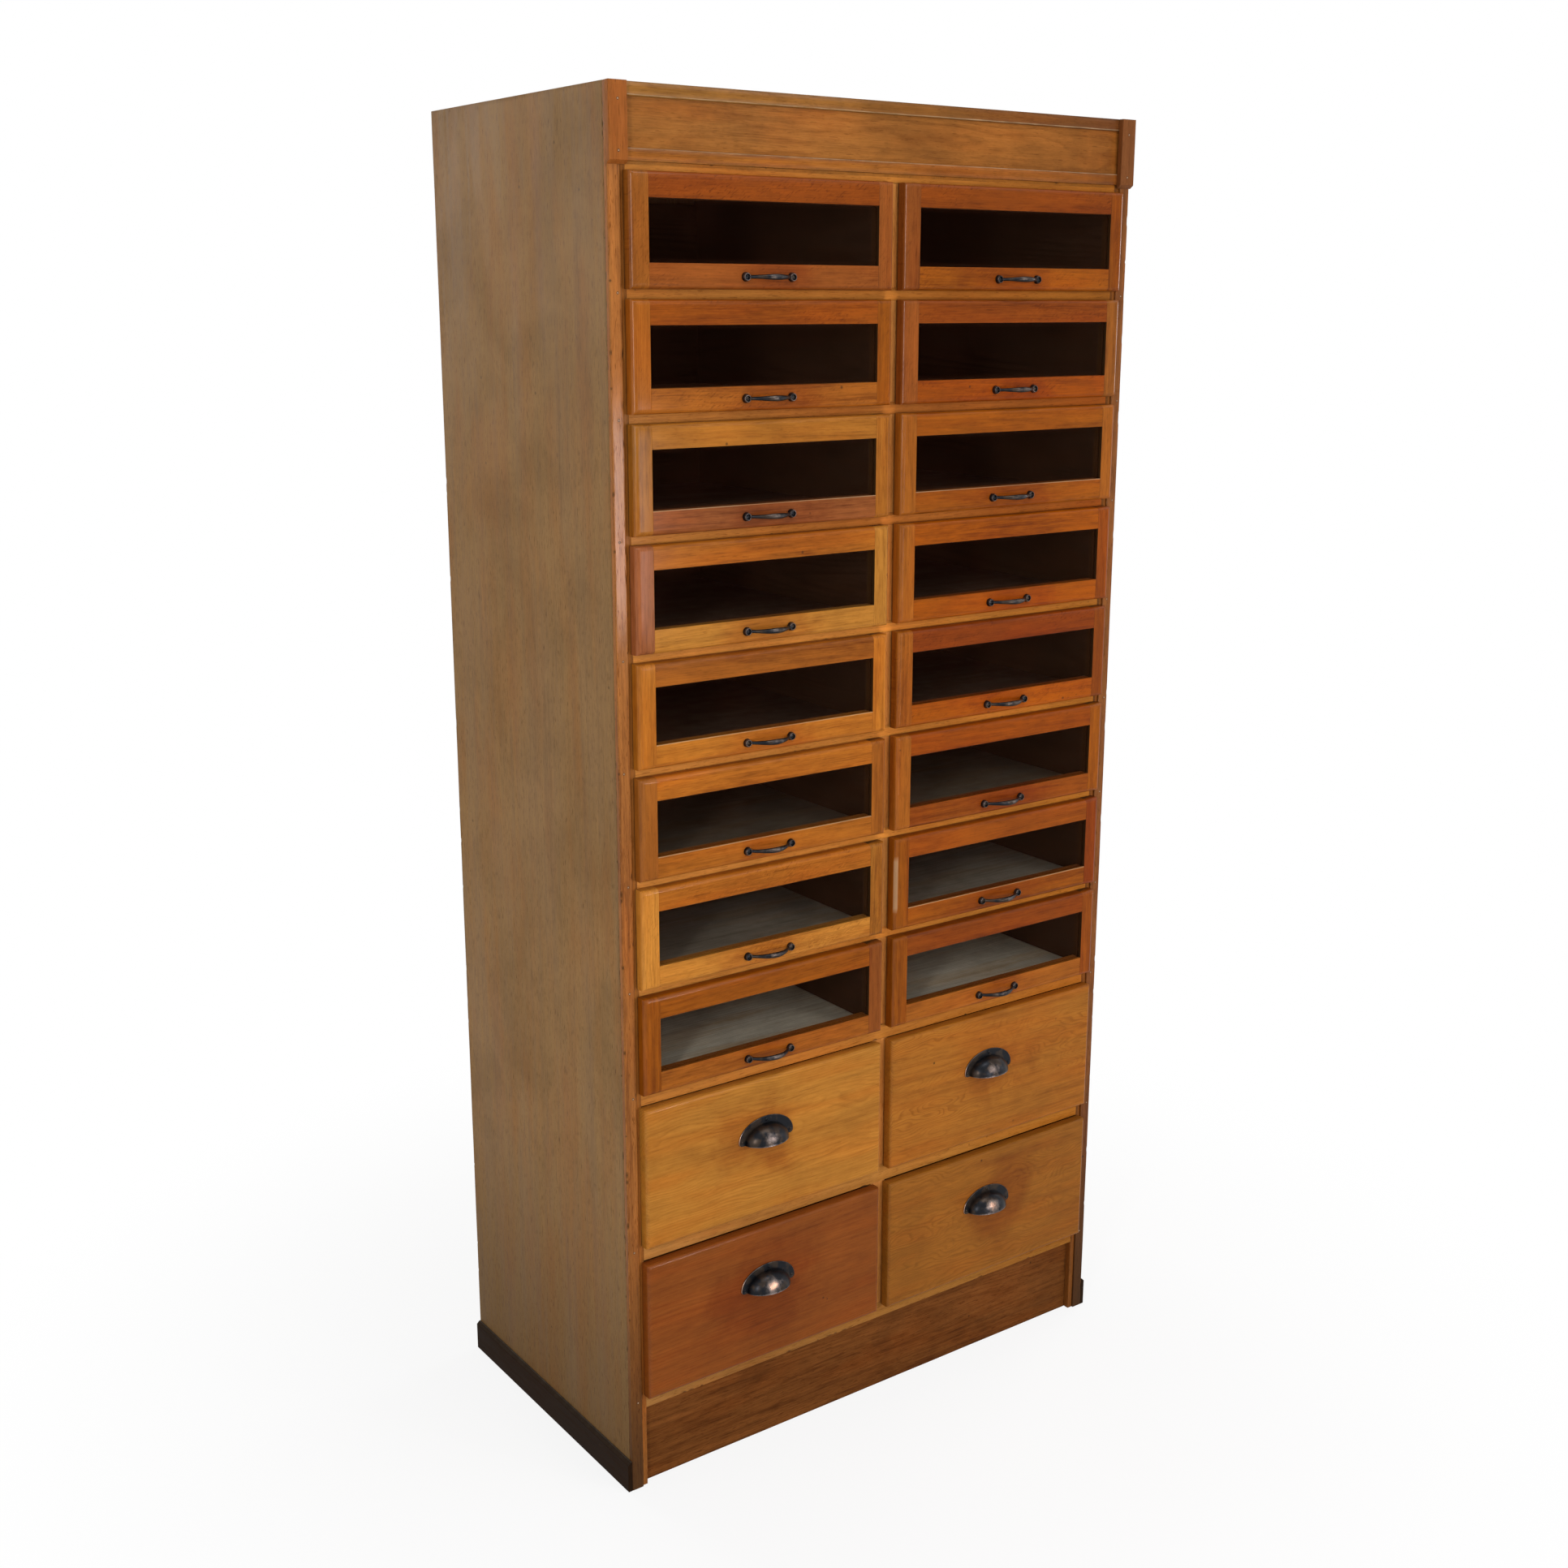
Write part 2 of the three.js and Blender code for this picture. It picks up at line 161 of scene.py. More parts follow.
def plugAll(tree, sockets, values):
    for socket, value in zip(sockets, values):
        plug(tree, socket, value)


def calc(tree, operation, first, second=None, third=None, clamp=False):
    node = addNode(tree, "ShaderNodeMath", operation=operation, use_clamp=clamp)
    plugAll(tree, node.inputs, (first, second, third))
    return node.outputs[0]


def times(tree, *factors):
    result = factors[0]
    for factor in factors[1:]:
        result = calc(tree, "MULTIPLY", result, factor)
    return result


def plus(tree, *terms):
    result = terms[0]
    for term in terms[1:]:
        result = calc(tree, "ADD", result, term)
    return result


def timesPlus(tree, value, factor, more, clamp=False):
    return calc(tree, "MULTIPLY_ADD", value, factor, more, clamp)


def larger(tree, first, second):
    return calc(tree, "MAXIMUM", first, second)


def smaller(tree, first, second):
    return calc(tree, "MINIMUM", first, second)


def vectorCalc(tree, operation, first, second=None, output="Vector"):
    node = addNode(tree, "ShaderNodeVectorMath", operation=operation)
    plugAll(tree, node.inputs, (first, second))
    return node.outputs[output]


def joinVector(tree, *parts):
    node = addNode(tree, "ShaderNodeCombineXYZ")
    plugAll(tree, node.inputs, parts)
    return node.outputs[0]


def splitVector(tree, vector):
    node = addNode(tree, "ShaderNodeSeparateXYZ")
    plug(tree, node.inputs[0], vector)
    return node.outputs[0], node.outputs[1], node.outputs[2]


def blend(tree, factor, first, second, mode="MIX"):
    node = addNode(tree, "ShaderNodeMix", data_type="RGBA", blend_type=mode)
    plugAll(tree, [node.inputs[index] for index in (0, 6, 7)], (factor, first, second))
    return node.outputs[2]


def noise(tree, vector, scale, detail=2.0, roughness=0.5, distortion=0.0):
    node = addNode(tree, "ShaderNodeTexNoise")
    names = ("Vector", "Scale", "Detail", "Roughness", "Distortion")
    plugAll(tree, [node.inputs[name] for name in names],
            (vector, scale, detail, roughness, distortion))
    return node.outputs[0]


def step(tree, value, low, high, toLow=0.0, toHigh=1.0):
    # a soft step from one value to another
    node = addNode(tree, "ShaderNodeMapRange", interpolation_type="SMOOTHSTEP")
    names = ("Value", "From Min", "From Max", "To Min", "To Max")
    plugAll(tree, [node.inputs[name] for name in names], (value, low, high, toLow, toHigh))
    return node.outputs[0]


def scaled(tree, vector, along, across, depth):
    return vectorCalc(tree, "MULTIPLY", vector, (along, across, depth))


def attribute(tree, name, output="Vector"):
    node = addNode(tree, "ShaderNodeAttribute", attribute_name=name)
    return node.outputs[output]


def placeOn(tree):
    # where a point lies on the whole cabinet
    return addNode(tree, "ShaderNodeTexCoord").outputs["Object"]


floatSocket, vectorSocket, colourSocket = (
    "NodeSocketFloat", "NodeSocketVector", "NodeSocketColor"
)


def newGroup(name, inputs, outputs):
    # inputs and outputs are named, and sorted by their kind of socket
    group = bpy.data.node_groups.new(name, "ShaderNodeTree")
    for way, sockets in (("INPUT", inputs), ("OUTPUT", outputs)):
        for kind, names in sockets.items():
            for socketName in names:
                group.interface.new_socket(socketName, in_out=way, socket_type=kind)
    entry = addNode(group, "NodeGroupInput")
    out = addNode(group, "NodeGroupOutput")
    return group, entry.outputs, out.inputs


def useGroup(tree, group, values):
    node = addNode(tree, "ShaderNodeGroup", node_tree=group)
    for name, value in values.items():
        plug(tree, node.inputs[name], value)
    return node.outputs


# Oak: growth rings round a pith that runs along the board, pores, ray flecks and mottle
figureValues = {
    # patterns: how fine along and across the grain, then the noise's detail and roughness
    "bend": (2.6, 9.0, 3, 0.5),
    "ripple": (9.0, 60.0, 2, 0.5),
    "clouds": (2.4, 19.0, 3, 0.55),
    "mottle": (32.0, 105.0, 3, 0.6),
    "streaks": (3.0, 120.0, 3, 0.6),
    "threads": (26.0, 620.0, 2, 0.55),
    "pores": (95.0, 950.0, 1, 0.55),
    "dashes": (58.0, 520.0, 1, 0.55),
    "fleckPatches": (9.0, 25.0, 2, 0.5),
    "redness": (5.1, 27.2, 2, 0.5),
    # how far the rings bend, ripple and swirl
    "bendReach": 22 * mm,
    "rippleReach": 3.3 * mm,
    "swirlReach": 85 * mm,
    "swirl": (5.0, 15.0),
    "swirlScales": (1.0, 1.37),
    "taper": 0.022,
    # which share of a ring is early wood, and where rings fade
    "ringFall": 0.5,
    "ringRise": 0.86,
    "ringPatches": (0.38, 0.66, 0.12, 1.0),
    "quarterFade": -0.75,
    "swirlGain": 0.9,
    "latePores": 0.4,
    # from where to where in its noise each mark shows
    "poreStep": (0.57, 0.7),
    "dashStep": (0.655, 0.72),
    "patchStep": (0.4, 0.6),
    "darkFleckStep": (0.62, 0.69),
    "paleFleckStep": (0.33, 0.4, 1.0, 0.0),
    "redStep": (0.4, 0.75, 0.0, 0.8),
    "fleckSlant": 0.62,
    "flecks": (105.0, 430.0, 20.0),
    # how much each pattern counts
    "cloudSwing": 5,
    "otherSwing": 4,
    "mottleShare": 0.6,
    "threadShare": 0.9,
    "ringDepth": 0.6,
    "poreDepth": 0.8,
    "darkFleckDepth": 0.6,
    "paleFleckDepth": 0.35,
    "ringSink": 0.35,
    "streakGloss": 0.2,
    # what the stain is multiplied by
    "dark": (0.42, 0.31, 0.24, 1),
    "light": (1.42, 1.42, 1.5, 1),
    "red": (1.04, 0.84, 0.66, 1),
}


def makeFigureGroup():
    values = figureValues
    group, given, out = newGroup(
        "oak figure",
        {
            vectorSocket: ("Grain",),
            colourSocket: ("Tint",),
            floatSocket: ("Quarter", "Swirl", "Ring Width", "Rings", "Pores", "Flecks", "Clouds",
                          "Streaks"),
        },
        {colourSocket: ("Colour",), floatSocket: ("Height", "Gloss")},
    )
    grain, tint = given["Grain"], given["Tint"]

    def pattern(name):
        along, across, detail, roughness = values[name]
        return noise(group, scaled(group, grain, along, across, across), 1, detail, roughness)

    def aside(value, reach):
        # a noise value as a way to either side
        return times(group, calc(group, "SUBTRACT", value, 0.5), reach)

    def swing(value, gain):
        # a noise value as a share from -1 to 1
        return larger(group, smaller(group, aside(value, gain), 1.0), -1.0)

    along, across, depth = splitVector(group, grain)
    alongScale, acrossScale = values["swirl"]
    swirls = [
        aside(
            noise(group, scaled(group, grain, alongScale * k, acrossScale * k, acrossScale), 1, 2),
            times(group, given["Swirl"], values["swirlReach"]),
        )
        for k in values["swirlScales"]
    ]
    swayed = plus(
        group, across, aside(pattern("bend"), values["bendReach"]),
        aside(pattern("ripple"), values["rippleReach"]), swirls[0],
    )
    deeper = plus(group, depth, swirls[1])
    squares = plus(group, times(group, swayed, swayed), times(group, deeper, deeper))
    coned = timesPlus(group, along, values["taper"], calc(group, "SQRT", squares))
    phase = calc(group, "FRACT", calc(group, "DIVIDE", coned, given["Ring Width"]))
    early = larger(
        group, step(group, phase, 0.0, values["ringFall"], 1.0, 0.0),
        step(group, phase, values["ringRise"], 1.0),
    )
    broad = pattern("clouds")
    rings = times(
        group, early, step(group, broad, *values["ringPatches"]), given["Rings"],
        timesPlus(group, given["Quarter"], values["quarterFade"], 1.0),
        timesPlus(group, given["Swirl"], values["swirlGain"], 1.0),
    )
    inEarly = timesPlus(group, early, 1 - values["latePores"], values["latePores"])
    pore = times(group, step(group, pattern("pores"), *values["poreStep"]), inEarly)
    dash = step(group, pattern("dashes"), *values["dashStep"])
    pores = times(group, larger(group, pore, dash), given["Pores"])
    slant = values["fleckSlant"]
    slanted = joinVector(
        group, timesPlus(group, across, slant, along), timesPlus(group, along, -slant, across),
        depth,
    )
    lens = noise(group, scaled(group, slanted, *values["flecks"]), 1, 1)
    patchy = step(group, pattern("fleckPatches"), *values["patchStep"])
    much = times(group, patchy, given["Flecks"], given["Quarter"])
    darkFleck = times(group, step(group, lens, *values["darkFleckStep"]), much)
    paleFleck = times(group, step(group, lens, *values["paleFleckStep"]), much)
    darkWood, lightWood, redWood = (
        blend(group, 1, tint, values[name], "MULTIPLY") for name in ("dark", "light", "red")
    )
    mottled = timesPlus(
        group, swing(pattern("mottle"), values["otherSwing"]), values["mottleShare"],
        swing(broad, values["cloudSwing"]),
    )
    streak = timesPlus(
        group, swing(pattern("threads"), values["otherSwing"]), values["threadShare"],
        swing(pattern("streaks"), values["otherSwing"]),
    )
    clouds = times(group, mottled, given["Clouds"])
    bright = timesPlus(group, streak, given["Streaks"], clouds)
    up = calc(group, "MAXIMUM", bright, 0.0, clamp=True)
    down = calc(group, "MULTIPLY", bright, -1.0, clamp=True)
    shade = blend(group, step(group, pattern("redness"), *values["redStep"]), tint, redWood)
    for share, wood in (
        (up, lightWood),
        (down, darkWood),
        (times(group, rings, values["ringDepth"]), darkWood),
        (times(group, pores, values["poreDepth"]), darkWood),
        (times(group, darkFleck, values["darkFleckDepth"]), darkWood),
        (times(group, paleFleck, values["paleFleckDepth"]), lightWood),
    ):
        shade = blend(group, share, shade, wood)
    sunk = timesPlus(group, rings, values["ringSink"], pores)
    plug(group, out["Colour"], shade)
    plug(group, out["Height"], times(group, sunk, -1.0))
    plug(group, out["Gloss"], timesPlus(group, streak, values["streakGloss"], broad))
    return group


# How far a point lies from the nearest edge of its board, and the wear, dirt and painted shade
# that follow
edgeValues = {
    "rub": 1.6 * mm,
    "patches": (34.0, 4, 0.65),
    "crumbs": (306.0, 3, 0.6),
    "crumbShare": 0.5,
    "bareStep": (0.86, 1.04),
    "grimeAndShadeStep": (0.3, 0.7, 0.35, 1.0),
}


def makeEdgeGroup():
    values = edgeValues
    group, given, out = newGroup(
        "board edges",
        {
            vectorSocket: ("Spot", "Half", "Place"),
            floatSocket: ("Cover", "Grime And Shade From", "Grime And Shade To"),
        },
        {floatSocket: ("Rub", "Grime And Shade", "Inset")},
    )
    inset = vectorCalc(
        group, "SUBTRACT", given["Half"], vectorCalc(group, "ABSOLUTE", given["Spot"])
    )
    first, second, third = splitVector(group, inset)
    small, large = smaller(group, first, second), larger(group, first, second)
    middle = larger(group, small, smaller(group, large, third))
    near = larger(group, middle, 0.0)
    patches = noise(group, given["Place"], *values["patches"])
    crumbs = noise(group, given["Place"], *values["crumbs"])
    rubbed = step(group, near, 0.0, values["rub"], 1.0, 0.0)
    bare = plus(group, timesPlus(group, crumbs, values["crumbShare"], patches), given["Cover"])
    plug(group, out["Rub"], times(group, rubbed, step(group, bare, *values["bareStep"])))
    # grime near the edges, in patches; along the frame's joins with the fronts it is a painted
    # shadow
    grimeAndShadeNearEdge = step(group, near, given["Grime And Shade From"], given["Grime And Shade To"], 1.0, 0.0)
    much = step(group, patches, *values["grimeAndShadeStep"])
    plug(group, out["Grime And Shade"], times(group, grimeAndShadeNearEdge, much))
    plug(group, out["Inset"], near)
    return group


# Dark specks, smears and dust that years of use leave, placed on the whole cabinet
marksValues = {
    "specks": 26.0,
    "speckSize": (0.03, 0.075, 1.0, 0.0),
    "speckPatches": (11.0, 1),
    "speckPatchStep": (0.52, 0.6),
    "smears": (6.5, 5, 0.62, 0.4),
    "smearStep": (0.35, 0.75),
    "dust": (42.0, 4, 0.7),
    "dustStep": (0.35, 0.8),
}


def makeMarksGroup():
    values = marksValues
    group, given, out = newGroup(
        "marks",
        {vectorSocket: ("Place",), floatSocket: ("Amount",)},
        {floatSocket: ("Specks", "Smears", "Dust")},
    )
    place = given["Place"]
    cells = addNode(group, "ShaderNodeTexVoronoi", feature="F1")
    plug(group, cells.inputs["Vector"], place)
    plug(group, cells.inputs["Scale"], values["specks"])
    spot = step(group, cells.outputs["Distance"], *values["speckSize"])
    some = step(group, noise(group, place, *values["speckPatches"]), *values["speckPatchStep"])
    plug(group, out["Specks"], times(group, spot, some, given["Amount"]))
    smear = noise(group, place, *values["smears"])
    plug(group, out["Smears"], step(group, smear, *values["smearStep"]))
    dust = noise(group, place, *values["dust"])
    plug(group, out["Dust"], step(group, dust, *values["dustStep"]))
    return group


figureGroup = makeFigureGroup()
edgeGroup = makeEdgeGroup()
marksGroup = makeMarksGroup()


def emptyTree(owner):
    owner.use_nodes = True
    owner.node_tree.nodes.clear()
    return owner.node_tree


def newMaterial(name):
    material = bpy.data.materials.new(name)
    tree = emptyTree(material)
    out = addNode(tree, "ShaderNodeOutputMaterial")
    shader = addNode(tree, "ShaderNodeBsdfPrincipled")
    tree.links.new(shader.outputs[0], out.inputs["Surface"])
    return material, tree, shader


def setShader(tree, shader, values):
    for name, value in values.items():
        plug(tree, shader.inputs[name], value)


def bump(tree, height, strength, distance):
    node = addNode(tree, "ShaderNodeBump")
    node.inputs["Strength"].default_value = strength
    node.inputs["Distance"].default_value = distance
    plug(tree, node.inputs["Height"], height)
    return node.outputs[0]


def boardEdges(tree, place, cover, grimeAndShadeReach):
    return useGroup(tree, edgeGroup, {
        "Spot": attribute(tree, "spot"),
        "Half": attribute(tree, "half"),
        "Place": place,
        "Cover": cover,
        "Grime And Shade From": grimeAndShadeReach[0],
        "Grime And Shade To": grimeAndShadeReach[1],
    })


# Kinds of finished oak, which share the figure and differ in varnish and wear
woodFinishes = {
    "varnished oak": {
        "rings": 0.34, "ringWidth": 3.8 * mm, "pores": 0.45, "flecks": 1.0, "clouds": 0.46,
        "streaks": 0.46, "rough": (0.36, 0.5), "specular": 0.06, "coat": 0.07, "polish": 0.32,
        "grimeAndShade": 0.15, "grimeAndShadeReach": (0.0, 2 * mm), "rub": 0.6, "cover": 0.12, "bump": 0.14,
        "specks": 0.8, "smears": 0.22, "lowDarkening": 0.0, "topDust": 0.0,
    },
    "board oak": {
        "rings": 0.36, "ringWidth": 3.8 * mm, "pores": 0.3, "flecks": 0.0, "clouds": 0.26,
        "streaks": 0.3, "rough": (0.36, 0.5), "specular": 0.06, "coat": 0.06, "polish": 0.2,
        "grimeAndShade": 0.15, "grimeAndShadeReach": (0.0, 2 * mm), "rub": 0.6, "cover": 0.16, "bump": 0.14,
        "specks": 0.9, "smears": 0.3, "lowDarkening": 0.0, "topDust": 0.0,
    },
    # the frame's edge grime is also a painted shadow where the fronts meet it
    "frame oak": {
        "rings": 0.2, "ringWidth": 3.4 * mm, "pores": 0.7, "flecks": 0.3, "clouds": 0.26,
        "streaks": 0.3, "rough": (0.4, 0.55), "specular": 0.06, "coat": 0.03, "polish": 0.0,
        "grimeAndShade": 0.7, "grimeAndShadeReach": (0.0, 1.3 * mm), "rub": 0.3, "cover": 0.1, "bump": 0.14,
        "specks": 0.9, "smears": 0.25, "lowDarkening": 0.35, "topDust": 0.35,
    },
    "stile oak": {
        "rings": 0.4, "ringWidth": 3.0 * mm, "pores": 1.0, "flecks": 0.3, "clouds": 0.3,
        "streaks": 0.5, "rough": (0.4, 0.55), "specular": 0.06, "coat": 0.2, "polish": 0.2,
        "grimeAndShade": 0.6, "grimeAndShadeReach": (0.0, 4 * mm), "rub": 0.7, "cover": 0.15, "bump": 0.2,
        "specks": 0.9, "smears": 0.3, "lowDarkening": 1.5, "topDust": 0.35,
    },
    "frieze oak": {
        "rings": 0.4, "ringWidth": 8 * mm, "pores": 0.6, "flecks": 0.2, "clouds": 0.42,
        "streaks": 0.36, "rough": (0.4, 0.55), "specular": 0.06, "coat": 0.04, "polish": 0.3,
        "grimeAndShade": 0.8, "grimeAndShadeReach": (0.0, 5 * mm), "rub": 0.9, "cover": 0.24, "bump": 0.12,
        "specks": 0.9, "smears": 0.5, "lowDarkening": 0.0, "topDust": 0.4,
    },
    "plinth oak": {
        "rings": 0.4, "ringWidth": 3.4 * mm, "pores": 0.8, "flecks": 0.2, "clouds": 0.6,
        "streaks": 0.55, "rough": (0.5, 0.65), "specular": 0.03, "coat": 0.0, "polish": 0.0,
        "grimeAndShade": 0.9, "grimeAndShadeReach": (0.0, 11 * mm), "rub": 0.7, "cover": 0.1, "bump": 0.16,
        "specks": 0.9, "smears": 0.62, "lowDarkening": 0.4, "topDust": 0.3,
    },
    "veneer": {
        "rings": 0.1, "ringWidth": 2.4 * mm, "pores": 1.0, "flecks": 0.0, "clouds": 0.12,
        "streaks": 0.26, "rough": (0.42, 0.6), "specular": 0.1, "coat": 0.0, "polish": 0.0,
        "grimeAndShade": 0.5, "grimeAndShadeReach": (0.0, 8 * mm), "rub": 0.8, "cover": 0.1, "bump": 0.1,
        "specks": 0.7, "smears": 0.34, "lowDarkening": 0.85, "topDust": 0.5,
    },
    "bare wood": {
        "rings": 0.6, "ringWidth": 4.2 * mm, "pores": 0.25, "flecks": 0.0, "clouds": 0.3,
        "streaks": 0.3, "rough": (0.6, 0.8), "specular": 0.06, "coat": 0.0, "polish": 0.0,
        "grimeAndShade": 0.6, "grimeAndShadeReach": (0.0, 9 * mm), "rub": 0.3, "cover": 0.0, "bump": 0.15,
        "specks": 0.6, "smears": 0.45, "lowDarkening": 0.3, "topDust": 0.2,
    },
}


# How dirt, wear, painted shade and painted highlights, polish and dust lie on every wood
wearValues = {
    # the colour of dirt, and of painted shade along edges and joins
    "dirtAndShade": (0.026, 0.014, 0.006, 1),
    "dust": (0.26, 0.23, 0.19, 1),
    "rub": (1.55, 1.75, 2.2, 1),
    # the pale colour of old glue and rubbed wood, also used for painted highlights on window lips
    "glueWearAndHighlight": (0.52, 0.36, 0.20, 1),
    "hand": (0.82, 0.62, 0.5, 1),
    "specularTint": (1.0, 0.78, 0.52, 1),
    "handShape": (0.8, 1.0, 1.2),
    "handRagged": -0.09,
    "handReach": (-0.03, 0.06, 0.8, 0.0),
    "polishReach": (1.5 * mm, 7 * mm),
    "footHeight": 0.16,
    "footPatches": (0.6, 0.5),
    "lowHeight": 0.6,
    "lowShare": 0.8,
    "dirtAndShadeDepth": 0.7,
    "speckDepth": 0.8,
    "glossStep": (0.3, 0.7),
    "dirtRough": 0.2,
    "dustFacing": (0.6, 0.95),
    "dustPatches": (0.6, 0.4),
    "dustRough": 0.4,
    "poreCoat": (0.9, 1.1),
    "coatFacing": (-0.7, -0.15),
    "dirtCoat": -0.8,
    "coatRough": 0.13,
    "relief": 0.4 * mm,
}


def makeWood(name, finish, stain=None):
    # a stain is given where a mesh has no boards of its own
    values = wearValues
    material, tree, shader = newMaterial(name)
    place = placeOn(tree)
    height = splitVector(tree, place)[2]
    facing = splitVector(tree, addNode(tree, "ShaderNodeNewGeometry").outputs["Normal"])[2]
    if stain is None:
        grain = attribute(tree, "grain")
        tint = attribute(tree, "tint", "Color")
        quarter = attribute(tree, "quarter", "Fac")
        swirl = attribute(tree, "swirl", "Fac")
    else:
        grain, tint, quarter, swirl = place, (*linear(stains[stain]), 1), 0.0, 0.0
    wood = useGroup(tree, figureGroup, {
        "Grain": grain,
        "Tint": tint,
        "Quarter": quarter,
        "Swirl": swirl,
        "Ring Width": finish["ringWidth"],
        "Rings": finish["rings"],
        "Pores": finish["pores"],
        "Flecks": finish["flecks"],
        "Clouds": finish["clouds"],
        "Streaks": finish["streaks"],
    })
    marks = useGroup(tree, marksGroup, {"Place": place, "Amount": finish["specks"]})
    shade = wood["Colour"]
    dirtAndShade = times(tree, marks["Smears"], finish["smears"])
    coat = finish["coat"]
    dark = 0.0
    if stain is None:
        edges = boardEdges(tree, place, finish["cover"], finish["grimeAndShadeReach"])
        dirtAndShade = larger(tree, dirtAndShade, times(tree, edges["Grime And Shade"], finish["grimeAndShade"]))
        # the per-point value darkens with chip wear and with painted shade along the fronts'
        # edges; below zero it turns to the pale colour, which is old glue on the frieze, rubbed
        # wood on one stile and a painted highlight on some window lips
        dark = attribute(tree, "wearAndPaintedLight", "Fac")
        wearAndPaintedLight = blend(tree, 1, tint, values["rub"], "MULTIPLY")
        shade = blend(tree, times(tree, edges["Rub"], finish["rub"]), shade, wearAndPaintedLight)
        glueWearAndHighlightShare = calc(tree, "MULTIPLY", dark, -1.0, clamp=True)
        shade = blend(tree, glueWearAndHighlightShare, shade, values["glueWearAndHighlight"])
        fromPull = vectorCalc(
            tree, "LENGTH", scaled(tree, attribute(tree, "pull"), *values["handShape"]),
            output="Value",
        )
        ragged = timesPlus(tree, marks["Smears"], values["handRagged"], fromPull)
        handled = step(tree, ragged, *values["handReach"])
        shade = blend(tree, handled, shade, blend(tree, 1, shade, values["hand"], "MULTIPLY"))
        if finish["polish"]:
            coat = step(tree, edges["Inset"], *values["polishReach"], finish["polish"],
                        finish["coat"])
    # darker towards the floor: in patches below the foot height, and evenly fading up to the low
    # height
    if finish["lowDarkening"]:
        low = times(
            tree, step(tree, height, 0.0, values["footHeight"], finish["lowDarkening"], 0.0),
            timesPlus(tree, marks["Smears"], *values["footPatches"]),
        )
        most = finish["lowDarkening"] * values["lowShare"]
        wide = step(tree, height, 0.0, values["lowHeight"], most, 0.0)
        dirtAndShade = larger(tree, dirtAndShade, larger(tree, low, wide))
    # dirt, grime and the per-point value darken towards one colour; along the fronts' edges and
    # the frame's joins this is painted shade
    soiledAndShaded = calc(
        tree, "MAXIMUM", times(tree, dirtAndShade, values["dirtAndShadeDepth"]), dark, clamp=True
    )
    shade = blend(tree, soiledAndShaded, shade, values["dirtAndShade"])
    specks = times(tree, marks["Specks"], values["speckDepth"])
    shade = blend(tree, specks, shade, values["dirtAndShade"])
    rough = step(tree, wood["Gloss"], *values["glossStep"], *finish["rough"])
    rough = timesPlus(tree, dirtAndShade, values["dirtRough"], rough)
    if finish["topDust"]:
        up = step(tree, facing, *values["dustFacing"], 0.0, finish["topDust"])
        dusty = times(tree, up, timesPlus(tree, marks["Dust"], *values["dustPatches"]))
        shade = blend(tree, dusty, shade, values["dust"])
        rough = timesPlus(tree, dusty, values["dustRough"], rough)
    gloss = times(
        tree, timesPlus(tree, wood["Height"], *values["poreCoat"], clamp=True),
        step(tree, facing, *values["coatFacing"]),
        timesPlus(tree, soiledAndShaded, values["dirtCoat"], 1.0, clamp=True),
    )
    setShader(tree, shader, {
        "Base Color": shade,
        "Roughness": rough,
        "Specular IOR Level": finish["specular"],
        "Specular Tint": values["specularTint"],
        "Coat Weight": times(tree, gloss, coat),
        "Coat Roughness": values["coatRough"],
        "Normal": bump(tree, wood["Height"], finish["bump"], values["relief"]),
    })
    return material


# Dark bronze, rubbed to grey and then to copper where hands reach it; the grey also paints
# highlights on the pulls
bronzeValues = {
    "blotches": (120.0, 4, 0.6),
    "grit": (800.0, 3, 0.6),
    "browned": (60.0, 2),
    "brownedStep": (0.45, 0.62),
    "black": (0.012, 0.013, 0.016, 1),
    "brown": (0.036, 0.026, 0.020, 1),
    "greyWearAndHighlight": (0.13, 0.105, 0.095, 1),
    "copper": (0.52, 0.30, 0.20, 1),
    "blotchEdge": 0.9,
    "gritEdge": 0.4,
    "greyStep": (0.15, 0.6),
    "copperStep": (0.5, 0.9),
    "metal": 0.9,
    "rough": (0.22, 0.22),
    "gritRelief": 0.5,
    "relief": (0.08, 0.3 * mm),
}


def makeBronze():
    values = bronzeValues
    material, tree, shader = newMaterial("bronze")
    place = placeOn(tree)
    blotches = noise(tree, place, *values["blotches"])
    grit = noise(tree, place, *values["grit"])
    browned = step(tree, noise(tree, place, *values["browned"]), *values["brownedStep"])
    patina = blend(tree, browned, values["black"], values["brown"])
    # the per-point value: wear, with the painted sheen on the bow bars and painted highlights on
    # the rims
    ragged = attribute(tree, "wearAndPaintedLight", "Fac")
    for pattern, edge in ((blotches, values["blotchEdge"]), (grit, values["gritEdge"])):
        ragged = timesPlus(tree, calc(tree, "SUBTRACT", pattern, 0.5), edge, ragged)
    shade = blend(tree, step(tree, ragged, *values["greyStep"]), patina, values["greyWearAndHighlight"])
    shade = blend(tree, step(tree, ragged, *values["copperStep"]), shade, values["copper"])
    height = timesPlus(tree, grit, values["gritRelief"], blotches)
    setShader(tree, shader, {
        "Base Color": shade,
        "Metallic": values["metal"],
        "Roughness": timesPlus(tree, blotches, *values["rough"]),
        "Normal": bump(tree, height, *values["relief"]),
    })
    return material


# The stopping over sunk nails, and the rust round it
crumblyFinishes = {
    "stopping": {
        "crumbs": (900.0, 3, 0.6), "crumbStep": (0.35, 0.7), "rough": (0.2, 0.8, 0.45, 0.7),
        "dark": (0.30, 0.15, 0.06, 1), "light": (0.50, 0.33, 0.19, 1), "specular": 0.15,
    },
    "old nails": {
        "crumbs": (420.0, 4, 0.65), "crumbStep": (0.4, 0.65), "rough": (0.2, 0.8, 0.5, 0.85),
        "dark": (0.030, 0.020, 0.013, 1), "light": (0.075, 0.040, 0.020, 1), "specular": 0.2,
    },
}


